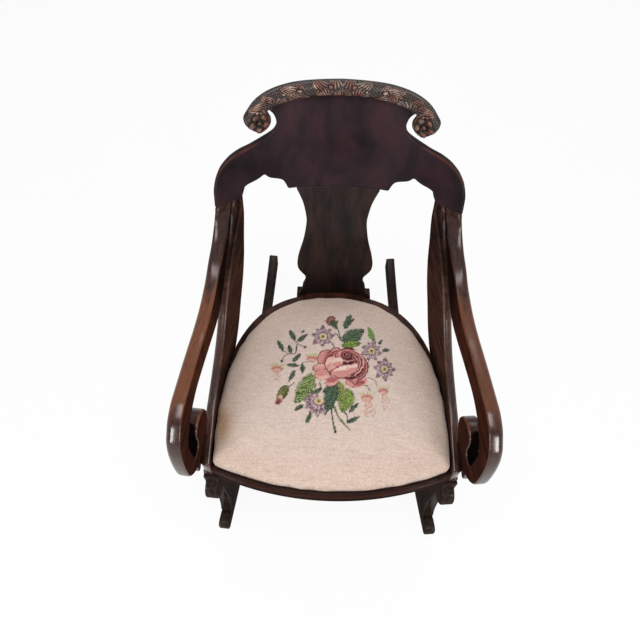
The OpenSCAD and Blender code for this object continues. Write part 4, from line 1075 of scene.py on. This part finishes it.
class CHAIR_OT_back(bpy.types.Operator):
    """Builds the splat, the crest board, its carved band and the rosettes"""
    bl_idname = "chair.back"
    bl_label = "Back"

    def execute(self, context):
        """Builds the pieces in the panel's sizes and colours."""
        deep, warm, veneer, copper = tones(context, "deep", "warm", "veneer", "copper")
        arris, depth, rise = lengths(context, "arris", "carving_depth", "rosette_rise")
        panel = polished_wood("crotch_veneer", linear(35, 30, 34), veneer, linear(96, 54, 40), grain=(16, 7, 16),
                              rub=0.5, coat=0.1, pitted=0.12)
        shade = polished_wood("splat_veneer", linear(27, 24, 23), linear(52, 37, 33), warm, grain=(40, 8, 40),
                              rub=0.3, coat=0.25)

        def sunk_back(x, u, d):
            """Place of a board whose face is the back's."""
            return on_back(x, u, -d)

        def shouldered(p, n):
            """Rounding of the crest's front arris, which grows over the shoulders' outer ends."""
            side = step(np.abs(p[:, 0]), 135, 185) * step(np.maximum(n[:, 1], n[:, 0] * np.sign(p[:, 0])), 0.2, 0.7)
            return arris * (0.6 + 1.3 * side)

        def rubbed(at, normal):
            """A painted highlight in the bare colour on top of the shoulders, and smoke in the middle of the panel."""
            smoky = np.exp(-((at[:, 0] / 120) ** 2) - ((at[:, 2] - 782) / 42) ** 2)
            top = step(normal[:, 2], 0.45, 0.75) * step(-normal[:, 1], -0.2, 0.3)
            return 0.75 * step(np.abs(at[:, 0]), 150, 200) * top - 0.3 * smoky

        def splat_foot_shade(at, normal):
            """Painted shade at the foot of the splat, by the seat, that thins out up the board."""
            return step(at[:, 2], 430, 540) * 0.5 - 0.5

        shape = sawn(splat_line(), sunk_back, SPLAT_T, arris * 0.5, arris * 0.5)
        board_piece("splat_board", ["splat"], shade, shape, splat_foot_shade)
        shape = sawn(crest_line(), sunk_back, CREST_T, shouldered, arris, gap=2.5, ease=1)
        board_piece("crest_panel", ["crest_board"], panel, shape, rubbed)
        leafy = self.carved("carved_leaves", deep, copper)
        flowery = self.carved("carved_flowers", deep, linear(128, 84, 64))
        co, faces, height = crest_carving(depth)
        band = piece("leaf_band", co, faces, leafy, "carved_mahogany")
        # The carving's height is stored as its wear: copper on the ridges, rubbed wood with a painted highlight
        add_wear(band, height)
        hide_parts("crest_carving")
        for side, name in ((-1, "left"), (1, "right")):
            co, faces, wear = rosette(side, rise)
            made = piece(f"{name}_flower", co, faces, flowery, "carved_mahogany")
            add_wear(made, wear)
            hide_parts(f"{name}_rosette")
        return {"FINISHED"}

    def carved(self, name, deep, copper):
        """Carved mahogany: black in the hollows, and copper on the ridges by the wear attribute, rubbed wood with a
        painted highlight.
        """
        f = Finish(name, coat_weight=0.45, coat_roughness=0.16, specular_ior_level=0.3)
        source = f.spot()
        fine = f.noise(source, 190.0, 4.0, 0.6)
        patch = f.between(f.noise(source, 34.0, 3.0), 0.36, 0.62)
        wear = f.attribute("wear")
        ridge = f.between(wear + (fine - 0.5) * 0.6 + (f.noise(source, 80.0, 2.0) - 0.5) * 0.7, 0.42, 1.12)
        tone = f.noise(source, 52.0, 2.0)
        warm = f.mix(f.between(tone, 0.42, 0.6), copper, linear(122, 66, 46))
        # The pale colour on the ridges is a painted glint
        warm = f.mix(f.between(tone, 0.36, 0.26), warm, linear(214, 190, 172))
        ground = f.mix(wear, shaded(deep, 0.3), linear(74, 56, 51))
        f.put(base_color=f.mix(ridge * (patch * 0.55 + 0.45), ground, warm), roughness=0.34 + fine * 0.2)
        return f.put(normal=f.bump(fine, 0.0004, 0.4)).material


class CHAIR_OT_sides(bpy.types.Operator):
    """Builds the stiles, the arms and the blocks under their scrolls"""
    bl_idname = "chair.sides"
    bl_label = "Arms and Stiles"

    def execute(self, context):
        """Builds the pieces in the panel's sizes and colours."""
        deep, warm, rubbed = tones(context, "deep", "warm", "rubbed")
        arris, turn = lengths(context, "arris", "stile_round")
        stile_wood = polished_wood("stile_mahogany", linear(41, 30, 27), linear(92, 60, 48), rubbed, rub=0.3, coat=1.0)

        def hands(at, normal):
            """Wear of the arms: bare on top; wear and a painted highlight along the inner arris; the bare colour
            lightens the flank; painted shade with grime in the slot of the scroll, and painted shade in the gap beside
            the stile."""
            x, y, z = at.T
            reach = step(y, 10, 80) * (1 - 0.95 * step(y, 210, 360))
            top = step(normal[:, 2], 0.3, 0.75) * (z > RAIL_TOP + 175)
            across = np.abs(x) + y * np.tan(ARM_SPLAY)
            # The light line along the inner arris is wear and a painted highlight
            inner = np.exp(-(((across - 279) / 3) ** 2)) * step(normal[:, 2], 0.15, 0.5) * (1 - step(y, 240, 400))
            # Painted shade, with grime, in the slot of the scroll
            hollow = step(46 - np.hypot(y - 34, z - RAIL_TOP - 98), 0, 10) * step(-np.abs(normal[:, 0]), -0.6, -0.3)
            # Painted shade in the gap between arm and stile
            crevice = step(282 - across, 0, 6) * step(y, 240, 340)
            flank = step(np.abs(normal[:, 0]), 0.8, 0.95) * step(y, 40, 110) * (1 - step(y, 230, 330))
            return 1.05 * top * reach + 0.9 * inner * step(y, 20, 60) + 0.5 * flank - 1.3 * hollow - 0.7 * crevice

        def rounded(p, n):
            """Rounding of a stile's outer arris, which is large in front."""
            return arris + (turn - arris) * step(n[:, 1] - n[:, 0], 0.1, 0.8)

        def crowned(p, n):
            """Rounding of an arm's outer arris, which is large in front but small inside the scroll."""
            outer = step(np.hypot(p[:, 0] - SCROLL_Y, p[:, 1] - SCROLL_Z), 62, 70)
            return arris + 8 * outer * step(n[:, 1] - n[:, 0], 0.1, 0.8)

        def rubs_and_shade(at, normal):
            """Wear down a stile's front, and painted shade where it goes in behind the arm."""
            y, z = at[:, 1], at[:, 2]
            front = step(normal[:, 2] - normal[:, 1], 0.3, 0.9)
            return 0.3 * front * step(z, 430, 520) * (1 - step(y, 280, 360)) - 0.8 * front * step(y, 330, 400)

        # Both arms are worn; the left takes more of the bare colour, a painted light that falls stronger on the left
        for side, name, rub_with_painted_light in ((-1, "left", 0.95), (1, "right", 0.62)):
            arm_wood = polished_wood(f"{name}_arm_mahogany", deep, warm, rubbed, rub=rub_with_painted_light, coat=1.0)
            bent = behind_crest(lambda a, b, d: np.column_stack([side * (stile_x(a) + d), a, b]))
            shape = sawn(stile_line(), bent, STILE_T, arris, rounded, draw=(drawn_back(STILE_T), 0))
            board_piece(f"{name}_stile_board", [f"{name}_stile"], stile_wood, shape, rubs_and_shade, 1.0)
            splayed = behind_crest(in_plane(ARM_HALF, ARM_SPLAY, side))
            shape = sawn(arm_line(), splayed, ARM_T, crowned, arris, gap=2.5, draw=(0, drawn_back(26)))
            board_piece(f"{name}_arm_board", [f"{name}_arm"], arm_wood, shape, hands, 1.0)
            low, inner, thick = SCROLL_Z - SCROLL_R - 31, 279.3, 20.0
            line = np.vstack([[[8, low + 10]], arc((16, low + 8), 8, 180, 270, 8), arc((74, low + 8), 8, 270, 360, 8),
                              [[82, low + 10]], arc((SCROLL_Y, SCROLL_Z), SCROLL_R + GLUE, 300, 239, 30)])
            shape = sawn(line, lambda a, b, d: np.column_stack([side * (inner + d), a, b]), thick, 3, 3, gap=2.0)
            board_piece(f"{name}_scroll_foot", [f"{name}_scroll_block"], stile_wood, shape, flat=1.0)
        return {"FINISHED"}


class CHAIR_OT_base(bpy.types.Operator):
    """Builds the front rail, the legs and the runners"""
    bl_idname = "chair.base"
    bl_label = "Legs and Runners"

    def execute(self, context):
        """Builds the pieces in the panel's sizes and colours."""
        deep, rubbed = tones(context, "deep", "rubbed")
        (arris,) = lengths(context, "arris")
        wood = polished_wood("base_mahogany", deep, linear(54, 43, 36), rubbed, rub=0.3, coat=0.14)
        rail_wood = polished_wood("rail_mahogany", deep, linear(48, 31, 27), linear(92, 52, 41), False, rub=0.3,
                                  coat=0.08)
        co, faces = swept(rail_section(), rail_path)
        rail = piece("beaded_rail", co, faces, rail_wood, "mahogany")
        at, normal = facing(rail)
        # The bare colour on the bead's upper side is a painted highlight
        add_wear(rail, 0.9 * step(normal[:, 2], 0.1, 0.7) * step(-np.abs(at[:, 2] - 400), -5, -2))
        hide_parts("front_rail")
        for side, name in ((-1, "left"), (1, "right")):
            low, front = (in_plane(LEG_HALF + thick / 2, TOE_IN, side) for thick in (RUNNER_T, LEG_T))
            for part, node, line, place, thick, gap, ease in (
                    ("runner", "rocker", runner_line(), low, RUNNER_T, 2.5, 1),
                    ("scroll_leg", "front_leg", leg_line(), front, LEG_T, 2.5, 2),
                    ("raked_leg", "rear_leg", rear_leg_line(), rear_leg_place(side), REAR_T, 3.0, 2)):
                shape = sawn(line, place, thick, arris, arris, gap, ease)
                board_piece(f"{name}_{part}", [f"{name}_{node}"], wood, shape, flat=0.8)
        return {"FINISHED"}


class CHAIR_OT_seat(bpy.types.Operator):
    """Builds the needlepoint cover over its stuffing"""
    bl_idname = "chair.seat"
    bl_label = "Needlepoint Seat"

    def execute(self, context):
        """Builds the cover."""
        (thread,) = tones(context, "thread")
        (cap,) = lengths(context, "stuffing_lift")
        n = 292
        v, u = np.meshgrid(np.linspace(-1, 1, n), np.linspace(-1, 1, n), indexing="ij")
        co, share = dome(u, v)
        co = co + stuffed(co, cap)
        co, share = co.reshape(-1, 3), share.ravel()
        at = drawing(co)
        # Darkening grows to the rim, soil with painted shade of the dome's slopes, and is strongest at one spot on the
        # left, a painted shadow of the left stile
        spot, reach = [-410, 1170], [90, 170]
        soil_and_shade = (step(share, 0.5, 1.0) + 4 * np.exp(-(((at - spot) / reach) ** 2).sum(1)))[:, None]
        work = Needlework(at, np.array([220.0, 203.0, 193.0]) * (1 - soil_and_shade * [0.04, 0.06, 0.09]))
        bouquet(work)
        finish = self.needlepoint(context.scene.chair_sizes.stitch, thread)
        faces = [*grid_faces(n, n, False), border(n)[::-1]]
        made = piece("needlepoint_cover", co, faces, finish, "needlepoint", "seat", stitches=linear(work.colour))
        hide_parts("seat_cover", "seat_pad")
        return {"FINISHED"}

    def needlepoint(self, pitch, shade):
        """Wool stitches on a square canvas. Each stitch has its own tone from a white noise on coordinates
        snapped to the pitch; rows and slanting ridges darken the seams with painted shade and lift the bump."""
        f = Finish("needlepoint", roughness=0.92, sheen_weight=0.2, sheen_roughness=0.5, specular_ior_level=0.2)
        source = f.spot()
        cell = f.node("VectorMath", {"operation": "SNAP"}, {0: source, 1: (pitch, pitch, 1.0)})
        tone = f.node("TexWhiteNoise", {"noise_dimensions": "2D"}, {"Vector": cell})
        x = f.node("SeparateXYZ", {}, {0: source})
        y = x.sibling(1)
        wool = f.ridges(y, pitch) * 0.25 + f.ridges(x + y * 0.5, pitch) * 0.2 + 0.5
        patch = f.noise(source, 60.0, 4.0, 0.7)
        bands = f.noise(f.stretched(source, (34, 260, 34)), 1.0, 3.0)
        dull = f.between(bands, 0.4, 0.7) * 0.11 + f.between(patch, 0.4, 0.75) * 0.08
        dull = dull + tone * 0.24 + (1 - wool) * 0.3
        colour = f.mix(dull, f.attribute("stitches", "Color"), shade, "MULTIPLY")
        return f.put(base_color=colour, normal=f.bump(wool + patch * 0.4, pitch * 0.35, 0.6)).material


class CHAIR_OT_workings(bpy.types.Operator):
    """Finishes the rails, blocks, screws, webbing and the drop-in frame that stay as the model has them"""
    bl_idname = "chair.workings"
    bl_label = "Hidden Work"

    def execute(self, context):
        """Gives each of these nodes its wood, steel or cloth."""
        deep, warm, rubbed = tones(context, "deep", "warm", "rubbed")
        rail = polished_wood("side_rail_mahogany", deep, warm, rubbed, False, (60, 12, 150), rub=0.3)
        beech = plain_finish("old_beech", linear(176, 138, 96), linear(142, 106, 70), (220, 14, 220), 0.6,
                             relief=0.0003)
        steel = plain_finish("screw_steel", linear(128, 124, 120), linear(92, 84, 78), (300, 300, 300), 0.35, 0.9)
        jute = woven("jute_webbing", linear(176, 148, 104), linear(128, 102, 68), 0.004)
        cloth = woven("black_cloth", linear(36, 34, 34), linear(20, 19, 19), 0.0016)
        finishes = {rail: ("splat_shoe", "left_rail", "right_rail", "back_rail"),
                    beech: ("left_front_block", "right_front_block", "left_rear_block", "right_rear_block",
                            "slip_front", "slip_back", "slip_left", "slip_right"),
                    steel: ("block_screws", "rocker_screws", "seat_tacks"),
                    jute: ("webbing_long", "webbing_cross"), cloth: ("dust_cover",)}
        for finish, nodes in finishes.items():
            for node in nodes:
                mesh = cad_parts[node].data
                mesh.materials.clear()
                mesh.materials.append(finish)
        return {"FINISHED"}


class CHAIR_OT_stage(bpy.types.Operator):
    """Sets up the pale floor, the soft lights and the camera"""
    bl_idname = "chair.stage"
    bl_label = "Stage"

    def execute(self, context):
        """Builds the room, the floor, four lamps and the photo's camera."""
        scene = context.scene
        scene.view_settings.view_transform = "Standard"
        self.world(scene)
        self.floor()
        for name, place, aim, size, watts in (("left", (-1.6, -2.5, 1.35), (0, 0, 0.5), (0.36, 0.85), 25),
                                              ("right", (1.6, -2.5, 1.35), (0, 0, 0.5), (0.36, 0.85), 25),
                                              ("overhead", (0, -0.8, 3.4), (0, 0, 0.4), (2.4, 1.2), 56),
                                              ("rear", (0.3, 2.2, 2.8), (0, 0, 0.6), (2.0, 1.4), 18)):
            lamp = bpy.data.lights.new(name, "AREA")
            lamp.shape, lamp.size, lamp.size_y, lamp.energy = "RECTANGLE", *size, watts
            made = bpy.data.objects.new(name, lamp)
            made.location = place
            made.rotation_euler = (Vector(aim) - Vector(place)).to_track_quat("-Z", "Y").to_euler()
            scene.collection.objects.link(made)
        lens = bpy.data.cameras.new("photo")
        lens.sensor_fit, lens.sensor_width, lens.lens = "HORIZONTAL", SENSOR, FOCAL * SENSOR / PHOTO
        camera = bpy.data.objects.new("photo", lens)
        turn = Matrix([RIGHTWARD.tolist(), UPWARD.tolist(), (-AHEAD).tolist()]).transposed()
        camera.matrix_world = Matrix.Translation(Vector(metres(EYE))) @ turn.to_4x4()
        scene.collection.objects.link(camera)
        scene.camera = camera
        return {"FINISHED"}

    def world(self, scene):
        """An even pale room that lights softly."""
        scene.world = bpy.data.worlds.new("room")
        scene.world.use_nodes = True
        light = scene.world.node_tree.nodes["Background"]
        light.inputs["Color"].default_value = (1, 1, 1, 1)
        light.inputs["Strength"].default_value = 0.45

    def floor(self):
        """A pale floor that shows white to the camera but keeps the chair's shadow."""
        mesh, reach = bpy.data.meshes.new("floor"), 9
        corners = [(-reach, -reach, 0), (reach, -reach, 0), (reach, reach, 0), (-reach, reach, 0)]
        mesh.from_pydata(corners, [], [(0, 1, 2, 3)])
        floor = bpy.data.objects.new("floor", mesh)
        bpy.context.scene.collection.objects.link(floor)
        f = Finish("pale_floor", base_color=(0.8, 0.8, 0.8, 1), roughness=0.9)
        path = f.node("LightPath")
        seen = path + path.sibling("Is Glossy Ray") + path.sibling("Is Transmission Ray")
        glow = f.node("Emission", {}, {"Color": (1, 1, 1, 1), "Strength": 1.0})
        mixed = f.node("MixShader", {}, {0: seen * 0.92, 1: Value(f, f.shader.outputs[0]), 2: glow})
        f.tree.links.new(mixed.socket, f.tree.nodes["Material Output"].inputs["Surface"])
        mesh.materials.append(f.material)


class CHAIR_PT_panel(bpy.types.Panel):
    """Lists the chair's sizes, colours and building steps"""
    bl_idname = "CHAIR_PT_panel"
    bl_label = "Rocking Chair"
    bl_space_type = "VIEW_3D"
    bl_region_type = "UI"
    bl_category = "Rocking Chair"

    def draw(self, context):
        """Shows a field for each property and a button for each step."""
        for group in (context.scene.chair_sizes, context.scene.chair_colours):
            for name in group.__annotations__:
                self.layout.prop(group, name)
        for step_class in STEPS:
            self.layout.operator(step_class.bl_idname)


STEPS = (CHAIR_OT_back, CHAIR_OT_sides, CHAIR_OT_base, CHAIR_OT_seat, CHAIR_OT_workings, CHAIR_OT_stage)
CLASSES = (ChairSizes, ChairColours, *STEPS, CHAIR_PT_panel)


def register():
    """Adds the classes and the scene's two groups of properties."""
    for cls in CLASSES:
        bpy.utils.register_class(cls)
    bpy.types.Scene.chair_sizes = bpy.props.PointerProperty(type=ChairSizes)
    bpy.types.Scene.chair_colours = bpy.props.PointerProperty(type=ChairColours)


def unregister():
    """Takes them out again, in the other order."""
    del bpy.types.Scene.chair_colours
    del bpy.types.Scene.chair_sizes
    for cls in reversed(CLASSES):
        bpy.utils.unregister_class(cls)


def main():
    """Builds the chair step by step."""
    register()
    bpy.ops.chair.back()
    bpy.ops.chair.sides()
    bpy.ops.chair.base()
    bpy.ops.chair.seat()
    bpy.ops.chair.workings()
    bpy.ops.chair.stage()


if __name__ == "__main__":
    main()
